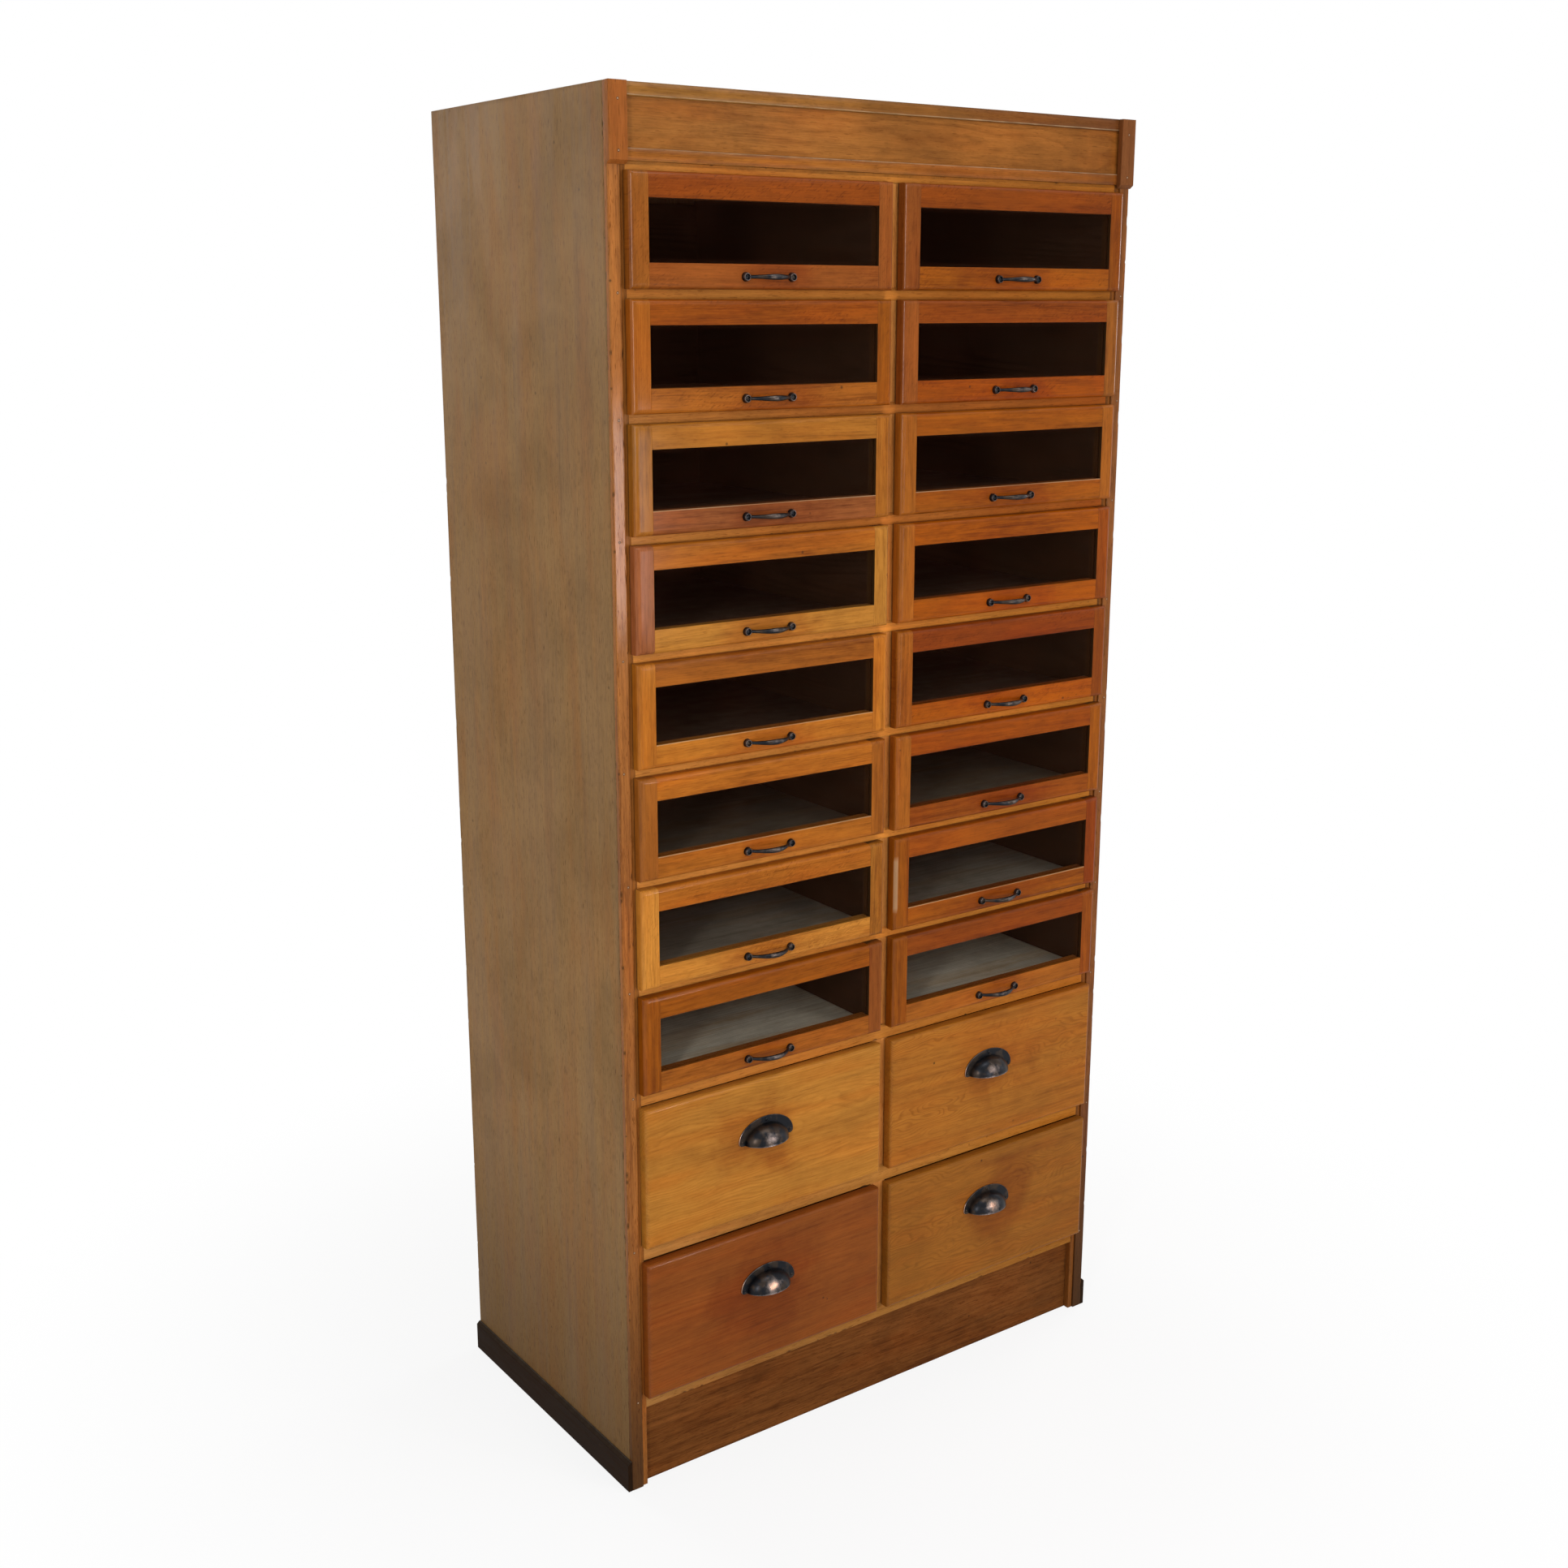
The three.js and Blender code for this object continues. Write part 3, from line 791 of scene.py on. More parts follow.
def makeCrumbly(name):
    values = crumblyFinishes[name]
    material, tree, shader = newMaterial(name)
    crumbs = noise(tree, placeOn(tree), *values["crumbs"])
    light = step(tree, crumbs, *values["crumbStep"])
    setShader(tree, shader, {
        "Base Color": blend(tree, light, values["dark"], values["light"]),
        "Roughness": step(tree, crumbs, *values["rough"]),
        "Specular IOR Level": values["specular"],
    })
    return material


# Old sheet glass, clean enough to look through, with dust along its edges
glassValues = {
    "colour": (0.062, 0.020, 0.009, 1),
    "specular": 0.05,
    "film": (14.0, 4, 0.6),
    "filmStep": (0.4, 0.8),
    "rough": (0.02, 0.08),
    "cover": 0.03,
    "filmCover": 0.03,
    "grimeAndShadeReach": (0.0, 9 * mm),
    "border": (4 * mm, 14 * mm, 0.10, 0.0),
}


def makeGlass():
    values = glassValues
    material, tree, shader = newMaterial("pane glass")
    place = placeOn(tree)
    edges = boardEdges(tree, place, 0.0, values["grimeAndShadeReach"])
    film = step(tree, noise(tree, place, *values["film"]), *values["filmStep"])
    border = step(tree, edges["Inset"], *values["border"])
    seen = timesPlus(tree, film, values["filmCover"], values["cover"])
    setShader(tree, shader, {
        "Base Color": values["colour"],
        "Roughness": step(tree, film, 0.0, 1.0, *values["rough"]),
        "Specular IOR Level": values["specular"],
        "Alpha": plus(tree, seen, border),
    })
    return material


materials = {name: makeWood(name, finish) for name, finish in woodFinishes.items()}
materials["inner wood"] = makeWood("inner wood", woodFinishes["bare wood"], "deal")
materials["bronze"] = makeBronze()
materials["iron"] = makeCrumbly("old nails")
materials["stopping"] = makeCrumbly("stopping")
materials["glass"] = makeGlass()
print("finishes made")


# Mesh helpers. A pile collects the boards of one piece, each with its own place in the log
def newPile():
    return {
        "points": [], "faces": [], "grain": [], "spot": [], "half": [],
        "tint": [], "quarter": [], "swirl": [], "wearAndPaintedLight": [], "pull": [], "count": 0,
    }


boardCount = 0
log = {
    "plainAcross": 26 * mm,
    "plainDepth": (34 * mm, 95 * mm),
    "quarterAcross": (110 * mm, 240 * mm),
    "quarterDepth": 14 * mm,
    "reach": 5.0,
    "slope": 0.018,
    "shade": (0.94, 1.06),
}
flatEnough = 1e-12  # how far from flat a face with four corners may be
tiny = 1e-9


def newBoard(low, high, stain, along, face, quarter=0.0, whole=None, swirl=0.0, pull=(9, 9, 9)):
    # a board's bounds, stain and way of lying in the log; the whole is what its edges are,
    # and the pull is where hands darken it
    global boardCount
    boardCount += 1
    draw = np.random.default_rng(boardCount)
    sign = draw.choice((-1.0, 1.0))
    if quarter > 0.5:
        across = draw.uniform(*log["quarterAcross"]) * sign
        depth = draw.uniform(-1, 1) * log["quarterDepth"]
    else:
        across = draw.uniform(-1, 1) * log["plainAcross"]
        depth = draw.uniform(*log["plainDepth"]) * sign
    ends = stain if isinstance(stain, tuple) else (stain, stain)
    return {
        "low": np.array(low, float),
        "high": np.array(high, float),
        "tint": [linear(stains[name]) for name in ends],
        "shade": draw.uniform(*log["shade"]),
        "along": along,
        "face": face,
        "quarter": quarter,
        "swirl": swirl,
        "shift": (draw.uniform(-1, 1) * log["reach"], across, depth),
        "slope": draw.uniform(-1, 1) * log["slope"],
        "whole": whole or (low, high),
        "pull": np.array(pull, float),
    }


def addMesh(pile, points, faces, board, wearAndPaintedLight=None):
    # points that fall together become one, and the faces between them go
    points = np.asarray(points, float)
    keys, firsts, same = np.unique(
        np.round(points, 7), axis=0, return_index=True, return_inverse=True
    )
    same = same.reshape(-1)
    base = pile["count"]
    kept = points[firsts]
    closed = []
    volume = 0.0
    centre = kept.mean(0)
    for face in faces:
        ring = [same[i] for i in face]
        ring = [v for k, v in enumerate(ring) if v != ring[k - 1]]
        if len(set(ring)) < 3:
            continue
        closed.append(ring)
        corner = kept[ring[0]] - centre
        for a, b in zip(ring[1:-1], ring[2:]):
            volume += np.dot(corner, np.cross(kept[a] - centre, kept[b] - centre))
    if volume < 0:
        closed = [ring[::-1] for ring in closed]
    pile["faces"].extend([[base + v for v in ring] for ring in closed])
    pile["points"].append(kept)
    count = len(kept)
    low, high = (np.array(corner, float) for corner in board["whole"])
    middle = (board["low"] + board["high"]) / 2
    rel = kept - middle
    across = 3 - board["along"] - board["face"]
    lengthwise = rel[:, board["along"]]
    grain = np.stack([
        lengthwise + board["shift"][0],
        rel[:, across] + board["shift"][1] + lengthwise * board["slope"],
        rel[:, board["face"]] + board["shift"][2],
    ], axis=1)
    pile["grain"].append(grain)
    pile["spot"].append(kept - (low + high) / 2)
    pile["half"].append(np.tile((high - low) / 2, (count, 1)))
    length = board["high"][board["along"]] - board["low"][board["along"]]
    share = np.clip(lengthwise / length + 0.5, 0, 1)[:, None]
    first, last = np.array(board["tint"]) * board["shade"]
    pile["tint"].append(np.hstack([first * (1 - share) + last * share, np.ones((count, 1))]))
    pile["quarter"].append(np.full(count, board["quarter"]))
    pile["swirl"].append(np.full(count, board["swirl"]))
    pile["pull"].append(kept - board["pull"])
    pile["wearAndPaintedLight"].append(np.zeros(count) if wearAndPaintedLight is None else np.asarray(wearAndPaintedLight, float)[firsts])
    pile["count"] += count


def addLoft(pile, rings, board, wearAndPaintedLight=None, caps=True):
    # a skin over closed rings with as many points each, and a cap at either end
    rings = np.asarray(rings, float)
    count, around = rings.shape[:2]
    points = rings.reshape(-1, 3)
    centre = points.mean(0)
    faces = []
    for i in range(count - 1):
        for j in range(around):
            k = (j + 1) % around
            a, b = i * around + j, i * around + k
            c, d = b + around, a + around
            p, q, r, s = points[a], points[b], points[c], points[d]
            twist = abs(np.dot(np.cross(q - p, s - p), r - p))
            if twist < flatEnough:
                faces.append((a, b, c, d))
                continue
            outward = np.cross(r - p, s - q)
            if np.dot(outward, (p + q + r + s) / 4 - centre) < 0:
                outward = -outward
            if np.dot(outward, p + r) > np.dot(outward, q + s):
                faces += [(a, b, c), (a, c, d)]
            else:
                faces += [(a, b, d), (b, c, d)]
    if caps:
        faces.append(tuple(range(around))[::-1])
        faces.append(tuple(range((count - 1) * around, count * around)))
    addMesh(pile, points, faces, board, wearAndPaintedLight)


def roundCorners(corners, radii, steps=3):
    # an outline whose corners are turned into arcs
    outline = []
    corners = [np.array(c, float) for c in corners]
    for index, (corner, radius) in enumerate(zip(corners, radii)):
        back = corners[index - 1] - corner
        on = corners[(index + 1) % len(corners)] - corner
        backLength, onLength = np.linalg.norm(back), np.linalg.norm(on)
        if radius <= 0 or backLength < tiny or onLength < tiny:
            outline += [corner] * (steps + 1)
            continue
        back, on = back / backLength, on / onLength
        half = math.acos(max(-1.0, min(1.0, float(np.dot(back, on))))) / 2
        reach = radius / math.tan(half)
        hub = corner + (back + on) / np.linalg.norm(back + on) * radius / math.sin(half)
        start = corner + back * reach - hub
        end = corner + on * reach - hub
        turn = math.pi - 2 * half
        for i in range(steps + 1):
            share = i / steps
            point = start * math.sin((1 - share) * turn) + end * math.sin(share * turn)
            outline.append(hub + point / math.sin(turn))
    return outline


def withShoulders(corners, outline, reach):
    # a point before and after each rounded corner, so that a chip stays small
    shaped = []
    count = len(outline) // len(corners)
    for index, corner in enumerate(corners):
        corner = np.array(corner, float)
        back = np.array(corners[index - 1], float) - corner
        on = np.array(corners[(index + 1) % len(corners)], float) - corner
        shaped.append(corner + back / np.linalg.norm(back) * reach)
        shaped += outline[count * index:count * (index + 1)]
        shaped.append(corner + on / np.linalg.norm(on) * reach)
    return shaped


def quarterSteps(radius, steps):
    # how far in from an edge, and how far back, the points of a quarter round lie
    return [
        (radius * (1 - math.cos(a)), radius * (1 - math.sin(a)))
        for a in (math.pi / 2 * i / steps for i in range(steps + 1))
    ]


# A sawn board: the bits missing from its edges, and how much its arrises waver
boardValues = {
    "chipPlaces": (0.01, 0.99),
    "chipWidth": (2 * mm, 9 * mm),
    "chipDepth": (0.5 * mm, 1.9 * mm),
    "chipShape": (-1, -0.5, 0, 0.5, 1),
    "chipWear": 0.75,
    "waver": 0.25,
    "waverPitch": 37,
    "waverShift": 2.1,
    "roundShare": 0.75,
    "shoulderShare": 0.35,
    "shoulder": 3 * mm,
    "endSteps": 3,
}


def addBoard(pile, low, high, stain, along, face, arris=0.6 * mm, chips=0.0, coarse=0.12,
             quarter=0.0, whole=None, swirl=0.0):
    # chips is how many bits are missing for each metre of edge
    values = boardValues
    low, high = np.array(low, float), np.array(high, float)
    board = newBoard(low, high, stain, along, face, quarter, whole, swirl)
    draw = np.random.default_rng(boardCount + 1000)
    first, second = [axis for axis in range(3) if axis != along]
    length = high[along] - low[along]
    bites = []
    for corner in range(4):
        for _ in range(int(draw.poisson(chips * length)) if chips else 0):
            middle = low[along] + draw.uniform(*values["chipPlaces"]) * length
            width = draw.uniform(*values["chipWidth"])
            bites.append((corner, middle, width, draw.uniform(*values["chipDepth"])))
    count = max(2, int(length / coarse) + 1)
    stations = set(np.linspace(low[along] + arris, high[along] - arris, count))
    for _, middle, width, _ in bites:
        for share in values["chipShape"]:
            spot = middle + share * width
            if low[along] + arris < spot < high[along] - arris:
                stations.add(spot)
    ends = quarterSteps(arris, values["endSteps"])
    plan = [(low[along] + d, inset) for d, inset in ends]
    plan += [(s, 0.0) for s in sorted(stations)]
    plan += [(high[along] - d, inset) for d, inset in reversed(ends)]
    rings, wearAndPaintedLight = [], []
    for s, inset in plan:
        radii, bitten = [], []
        for corner in range(4):
            bitten.append(0.0)
            wave = s * values["waverPitch"] + corner * values["waverShift"] + boardCount
            radius = arris * (1 + values["waver"] * math.sin(wave))
            for which, middle, width, depth in bites:
                if which == corner and abs(s - middle) < width:
                    share = 1 - ((s - middle) / width) ** 2
                    radius += depth * share
                    bitten[corner] = values["chipWear"] * share
            radii.append(radius)
        inner = np.array([low[first], low[second]]) + inset
        outer = np.array([high[first], high[second]]) - inset
        corners = [
            (inner[0], inner[1]), (outer[0], inner[1]), (outer[0], outer[1]), (inner[0], outer[1])
        ]
        reach = min(values["shoulderShare"] * min(outer - inner), values["shoulder"])
        most = values["roundShare"] * reach
        outline = roundCorners(corners, [min(radius, most) for radius in radii])
        outline = withShoulders(corners, outline, reach)
        ring = np.zeros((len(outline), 3))
        ring[:, along] = s
        ring[:, first] = [p[0] for p in outline]
        ring[:, second] = [p[1] for p in outline]
        rings.append(ring)
        wearAndPaintedLight += [share for bite in bitten for share in (0, bite, bite, bite, bite, 0)]
    addLoft(pile, rings, board, wearAndPaintedLight)


# A moulded length: how often its dirt changes, and between which shares
runValues = {
    "arris": 0.4 * mm,
    "endSteps": 3,
    "spots": 60,
    "broken": (0.2, 1.0),
}


def addRun(pile, outline, along, start, end, board, arris=runValues["arris"], shades=None):
    # an outline in the two other axes, run along one axis; its ends are softened, and shades
    # are the dirt (or glue, below zero) of the outline's points, broken up along the run
    values = runValues
    first, second = [axis for axis in range(3) if axis != along]
    shape = np.array(outline)
    middle = (shape.min(0) + shape.max(0)) / 2
    half = (shape.max(0) - shape.min(0)) / 2
    ends = quarterSteps(arris, values["endSteps"])
    spots = np.linspace(start + arris, end - arris, values["spots"])[1:-1] if shades else ()
    draw = np.random.default_rng(boardCount + 2000)
    plan = [(start + d, inset) for d, inset in ends] + [(s, 0.0) for s in spots]
    plan += [(end - d, inset) for d, inset in reversed(ends)]
    rings, wearAndPaintedLight = [], []
    for s, inset in plan:
        wearAndPaintedLight += [shade * draw.uniform(*values["broken"]) for shade in shades or ()]
        drawn = np.clip(shape, middle - half + inset, middle + half - inset)
        ring = np.zeros((len(shape), 3))
        ring[:, along] = s
        ring[:, first] = drawn[:, 0]
        ring[:, second] = drawn[:, 1]
        rings.append(ring)
    addLoft(pile, rings, board, wearAndPaintedLight or None)


sharpFrom = 38  # degrees between two faces


def finishPiece(name, pile, material, body, replaced=()):
    mesh = bpy.data.meshes.new(name)
    points = np.concatenate(pile["points"])
    mesh.from_pydata(points.tolist(), [], pile["faces"])
    for key, kind, field in (
        ("grain", "FLOAT_VECTOR", "vector"),
        ("spot", "FLOAT_VECTOR", "vector"),
        ("half", "FLOAT_VECTOR", "vector"),
        ("tint", "FLOAT_COLOR", "color"),
        ("quarter", "FLOAT", "value"),
        ("swirl", "FLOAT", "value"),
        ("wearAndPaintedLight", "FLOAT", "value"),
        ("pull", "FLOAT_VECTOR", "vector"),
    ):
        layer = mesh.attributes.new(key, kind, "POINT")
        layer.data.foreach_set(field, np.concatenate(pile[key]).astype(np.float32).ravel())
    mesh.materials.append(materials[material])
    mesh.shade_smooth()
    mesh.set_sharp_from_angle(angle=math.radians(sharpFrom))
    piece = bpy.data.objects.new(name, mesh)
    bpy.context.scene.collection.objects.link(piece)
    even = piece.modifiers.new("even shading", "WEIGHTED_NORMAL")
    even.keep_sharp = True
    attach(piece, body)
    if replaced:
        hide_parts(*replaced)
    return piece


# The case: sides, top, back and the stiles that face the sides
caseValues = {
    "arris": 0.9 * mm,
    "sideChips": 5.0,
    "sideQuarter": 0.6,
    "stileChips": 9.0,
    "stileQuarter": 0.2,
    "topBoards": 3,
    "topChips": 4.0,
    "tongue": 3 * mm,
    "tongueArris": 0.4 * mm,
    "planks": 7,
    "plankGap": 0.8 * mm,
    "plankArris": 1.2 * mm,
    "plankChips": 2.0,
}


def buildCase():
    values = caseValues
    for side in sides:
        pile = newPile()
        low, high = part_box(f"side_panel_{side}")
        addBoard(pile, low, high, "veneer", 2, 0, values["arris"], values["sideChips"],
                 quarter=values["sideQuarter"])
        finishPiece(f"sidePanel_{side}", pile, "veneer", "case",
                    [f"side_panel_{side}"])
        pile = newPile()
        low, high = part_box(f"front_stile_{side}")
        stain = "stile" if side == "left" else "stileRight"
        addBoard(pile, low, high, stain, 2, 1, values["arris"], values["stileChips"],
                 quarter=values["stileQuarter"])
        finishPiece(f"frontStile_{side}", pile, "stile oak", "case",
                    [f"front_stile_{side}"])
    low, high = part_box("top_board")
    pile = newPile()
    width = (high.y - low.y) / values["topBoards"]
    for i in range(values["topBoards"]):
        front = low.y + i * width
        addBoard(
            pile, (low.x, front, low.z), (high.x, front + width, high.z), "topBoard", 0, 2,
            values["arris"], values["topChips"],
        )
    finishPiece("topBoard", pile, "veneer", "case", ["top_board"])
    low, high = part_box("back_panel")
    pile = newPile()
    seam = low.y + values["tongue"]
    addBoard(pile, low, (high.x, seam, high.z), "deal", 2, 1, values["tongueArris"])
    width = (high.x - low.x + values["plankGap"]) / values["planks"]
    for i in range(values["planks"]):
        left = low.x + i * width
        addBoard(
            pile, (left, seam, low.z), (left + width - values["plankGap"], high.y, high.z),
            "deal", 2, 1, values["plankArris"], values["plankChips"],
        )
    finishPiece("backPanel", pile, "bare wood", "case", ["back_panel"])


# The face frame: two posts, rails from post to post and pieces of centre stile between them
def frontOf(side, number):
    # the bounds of a drawer's front, without its pull and box
    kind = "display" if number in displayRows else "deep"
    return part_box(f"{kind}_drawer_{side}_{number}")


frameValues = {
    "arris": 0.5 * mm,
    "lip": 4 * mm,
    "displayLipUp": 1.5 * mm,
    "deepTopGap": 2 * mm,
    "gapSeen": {9: 0.6 * mm, 10: 1.3 * mm},
    "centreGap": 20 * mm,
    "postWidth": 9 * mm,
    "postChips": 3.0,
    "footChips": 7.0,
    "railChips": 2.5,
    "centreChips": 2.0,
}


# Stains of the rails at their left and right ends, counted from the lowest rail up, some with
# painted light
railStains = {
    0: ("railFoot", "railFootRight"),
    1: ("railLow", "railLowRight"),
    2: ("rail", "railRight"),
    # the rails between rows 4 and 8 are stained paler: painted light that makes up for the shade
    # under the fronts
    3: ("railPaintedLight", "railPaintedLightRight"),
    4: ("railPaintedLight", "railPaintedLightRight"),
    5: ("railPaintedLight", "railPaintedLightRight"),
    6: ("railPaintedLight", "railPaintedLightRight"),
    7: ("rail", "railRed"),
    8: ("rail", "railRed"),
}


def buildFaceFrame():
    values = frameValues
    low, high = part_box("face_frame")
    pile = newPile()
    bottoms, tops = [], []
    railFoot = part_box("plinth_front")[1].z
    for number in reversed((*displayRows, *deepRows)):
        front = frontOf("left", number)
        bottoms.append(railFoot)
        tops.append(front[0].z + values["lip"])
        above = values["gapSeen"][number] if number in deepRows else -values["displayLipUp"]
        railFoot = front[1].z + above
    bottoms.append(railFoot)
    tops.append(high.z)
    postLeft = (low.x, low.x + values["postWidth"])
    postRight = (high.x - values["postWidth"], high.x)
    # each board's edges are set where the fronts cover it, so that its edge grime lies along the
    # joins as a painted shadow
    hidden = values["lip"]
    for (x0, x1), stain, inLeft, inRight in (
        (postLeft, "stile", 0, hidden), (postRight, "stileRight", hidden, 0),
    ):
        whole = ((x0 + inLeft, low.y, low.z), (x1 - inRight, high.y, high.z))
        addBoard(pile, (x0, low.y, low.z), (x1, high.y, high.z), stain, 2, 1, values["arris"],
                 values["postChips"], whole=whole)
    left, right = postLeft[1], postRight[0]
    for index, (bottom, top) in enumerate(zip(bottoms, tops)):
        stain = railStains.get(index, ("rail", "railRight"))
        # no glazed drawer's lip covers the foot of the lowest rails
        seenFrom = bottom if index <= len(deepRows) else bottom + values["displayLipUp"]
        chips = values["railChips"] if index else values["footChips"]
        addBoard(
            pile, (left, low.y, bottom), (right, high.y, top), stain, 0, 1,
            values["arris"], chips,
            whole=((left - hidden, low.y, seenFrom), (right + hidden, high.y, top - hidden)),
        )
    seen = values["centreGap"] / 2
    half = seen + hidden
    for top, bottom in zip(tops[:-1], bottoms[1:]):
        addBoard(pile, (-half, low.y, top), (half, high.y, bottom), "centre", 2, 1,
                 values["arris"], values["centreChips"],
                 whole=((-seen, low.y, top - hidden), (seen, high.y, bottom + hidden)))
    finishPiece("faceFrame", pile, "frame oak", "case", ["face_frame"])


# The frieze: panel, two mouldings and an end block at each side
friezeValues = {
    "boardArris": 0.5 * mm,
    "swirl": 0.35,
    "edge": 2.6 * mm,
    "bevelHeight": 5 * mm,
    "bevelDepth": 6.5 * mm,
    "blockArris": 0.8 * mm,
    "blockRounds": (0.3 * mm, 0.8 * mm, 0.8 * mm, 0.8 * mm, 0.5 * mm),
}
# rounds are the lower and the upper front edge; shades are dirt on them, or old glue below zero
mouldingValues = {
    "frieze_top_moulding": {
        "stain": ("moulding", "mouldingRight"), "lowRound": 2 * mm, "highRound": 0.5 * mm,
        "lowShades": [-0.7, -0.7, 0.0, 0.0, 0.0], "highShades": [0.0, 0.2, 0.75, 0.75, 0.75],
    },
    "frieze_lower_band": {
        "stain": ("band", "bandRight"), "lowRound": 0.5 * mm, "highRound": 2 * mm,
        "lowShades": [0.0, 0.0, 0.0, 0.0, 0.5], "highShades": [0.0, 0.0, -0.7, -0.7, 0.4],
    },
}


def buildFrieze():
    values = friezeValues
    low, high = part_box("frieze_board")
    pile = newPile()
    addBoard(pile, low, high, ("frieze", "friezeRight"), 0, 1, values["boardArris"],
             swirl=values["swirl"])
    finishPiece("friezeBoard", pile, "frieze oak", "case", ["frieze_board"])
    for name, moulding in mouldingValues.items():
        low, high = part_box(name)
        pile = newPile()
        edge = values["edge"]
        corners = [
            (low.y, low.z), (high.y, low.z), (high.y, high.z), (low.y, high.z),
            (low.y, high.z - edge), (low.y, low.z + edge),
        ]
        radii = [moulding["lowRound"], 0, 0, moulding["highRound"], 0, 0]
        board = newBoard(low, high, moulding["stain"], 0, 1)
        clean = [0.0] * 10
        shades = moulding["lowShades"] + clean + moulding["highShades"] + clean
        addRun(pile, roundCorners(corners, radii, 4), 0, low.x, high.x, board, shades=shades)
        finishPiece(f"friezeMoulding_{name.split('_')[1]}", pile, "frieze oak", "case",
                    [name])
    for side in sides:
        low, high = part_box(f"frieze_block_{side}")
        pile = newPile()
        corners = [
            (high.y, low.z), (high.y, high.z), (low.y, high.z),
            (low.y, low.z + values["bevelHeight"]), (low.y + values["bevelDepth"], low.z),
        ]
        board = newBoard(low, high, "block" if side == "left" else "blockRight", 2, 1)
        addRun(pile, roundCorners(corners, values["blockRounds"]), 0, low.x, high.x, board,
               values["blockArris"])
        finishPiece(f"friezeBlock_{side}", pile, "frame oak", "case",
                    [f"frieze_block_{side}"])


# The plinth board between the posts and the skirting along each side
plinthValues = {
    "arris": 0.8 * mm,
    "chips": 5.0,
    "chamfer": 5 * mm,
    "skirtingArris": 1 * mm,
    "skirtingRounds": (0, 0.6 * mm, 1.2 * mm, 1.2 * mm, 1 * mm),
}


def buildPlinth():
    values = plinthValues
    low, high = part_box("plinth_front")
    pile = newPile()
    addBoard(pile, low, high, "plinth", 0, 1, values["arris"], values["chips"])
    finishPiece("plinthFront", pile, "plinth oak", "case", ["plinth_front"])
    for side in sides:
        low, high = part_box(f"plinth_side_{side}")
        pile = newPile()
        chamfer = values["chamfer"]
        inner, outer = (high.x, low.x) if side == "left" else (low.x, high.x)
        inward = chamfer if side == "left" else -chamfer
        corners = [
            (inner, low.z), (inner, high.z), (outer + inward, high.z),
            (outer, high.z - chamfer), (outer, low.z),
        ]
        board = newBoard(low, high, "skirting", 1, 0)
        addRun(pile, roundCorners(corners, values["skirtingRounds"]), 1, low.y, high.y, board,
               values["skirtingArris"])
        finishPiece(f"skirting_{side}", pile, "plinth oak", "case",
                    [f"plinth_side_{side}"])


buildCase()
buildFaceFrame()
buildFrieze()
buildPlinth()
print("case built")


# Drawer fronts. Stains go left stile, right stile, top rail, bottom rail, row by row
frontValues = {
    "thickness": 18 * mm,
    "round": 7 * mm,
    "deepRound": 6 * mm,
    "backRound": 1.3 * mm,
    # a painted shadow along each front's back edge, where it meets the frame
    "paintedBackShadow": 0.7,
    "lipRound": 0.8 * mm,
    "lipReach": 1.3 * mm,
    # fronts whose bottom rail gets a painted highlight along the window's lip
    "paintedHighlightLips": (("left", 3), ("left", 5), ("left", 6), ("right", 3), ("right", 7)),
    "swirls": {("left", 9): 0.45, ("left", 10): 0.1, ("right", 9): 1.0, ("right", 10): 0.8},
    "roundSteps": 6,
    "stationStep": 14 * mm,
    # how fast the painted shade fades towards the face, from the outer and from the inner edge
    "outerFade": 1.4,
    "innerFade": 0.6,
    "backArris": 0.5 * mm,
    "lipMargin": 0.4 * mm,
    # painted shade on the outer edge, the inner edge, the start and the end: left and right stile,
    # top and bottom rail, deep front
    "dirtAndShade": (
        (0.08, 0.3, 0.1, 0.05), (0.08, 0.95, 0.1, 0.05),
        (0.05, 0.7, 0.0, 0.0), (0.1, 0.5, 0.0, 0.0), (0.12, 0.0, 0.0, 0.1),
    ),
    # how strong that painted highlight is, as a value below zero
    "paintedLipHighlight": -0.5,
    # a left stile's outer edge that is rubbed pale: from and to which share of its length
    "rubbed": {("right", 7): (0.2, 0.78, -0.45)},
    "stileQuarter": 0.6,
    "grooveStep": 1e-5,
    "stile": 27.5 * mm,
    "rail": 33 * mm,
    "joint": 0.35 * mm,
    "glassSetback": 5 * mm,
    "glassBite": 6 * mm,
    "glassGap": 0.3 * mm,
}
frontStains = {
    "left": {
        1: ("hazel", "mahogany", "sienna", "mahogany"),
        2: ("chestnut", "cinnamon", "russet", "chestnut"),
        3: ("nutmeg", "nutmeg", "nutmeg", "walnut"),
        4: ("umber", "oldGold", "amber", "oldGold"),
        5: ("honey", "honey", "chestnut", "honey"),
        6: ("hazel", "chestnut", "amber", "amber"),
        7: ("straw", "nutmeg", "amber", "straw"),
        8: ("cinnamon", "mahogany", "cinnamon", "chestnut"),
        9: ("oldGold",),
        10: ("mahogany",),
    },
    "right": {
        1: ("mahogany", "cinnamon", "sienna", "cinnamon"),
        2: ("mahogany", "hazel", "sienna", "redwood"),
        3: ("chestnut", "chestnut", "cinnamon", "cinnamon"),
        4: ("chestnut", "sienna", "copper", "copper"),
        5: ("chestnut", "sienna", "oxblood", "copper"),
        6: ("chestnut", "cinnamon", "redwood", "russet"),
        7: ("cinnamon", "oxblood", "russet", "cinnamon"),
        8: ("cinnamon", "russet", "sienna", "chestnut"),
        9: ("nutmeg",),
        10: ("tan",),
    },
}
quarterRows = {"left": (1, 2, 7), "right": (1, 2, 5)}


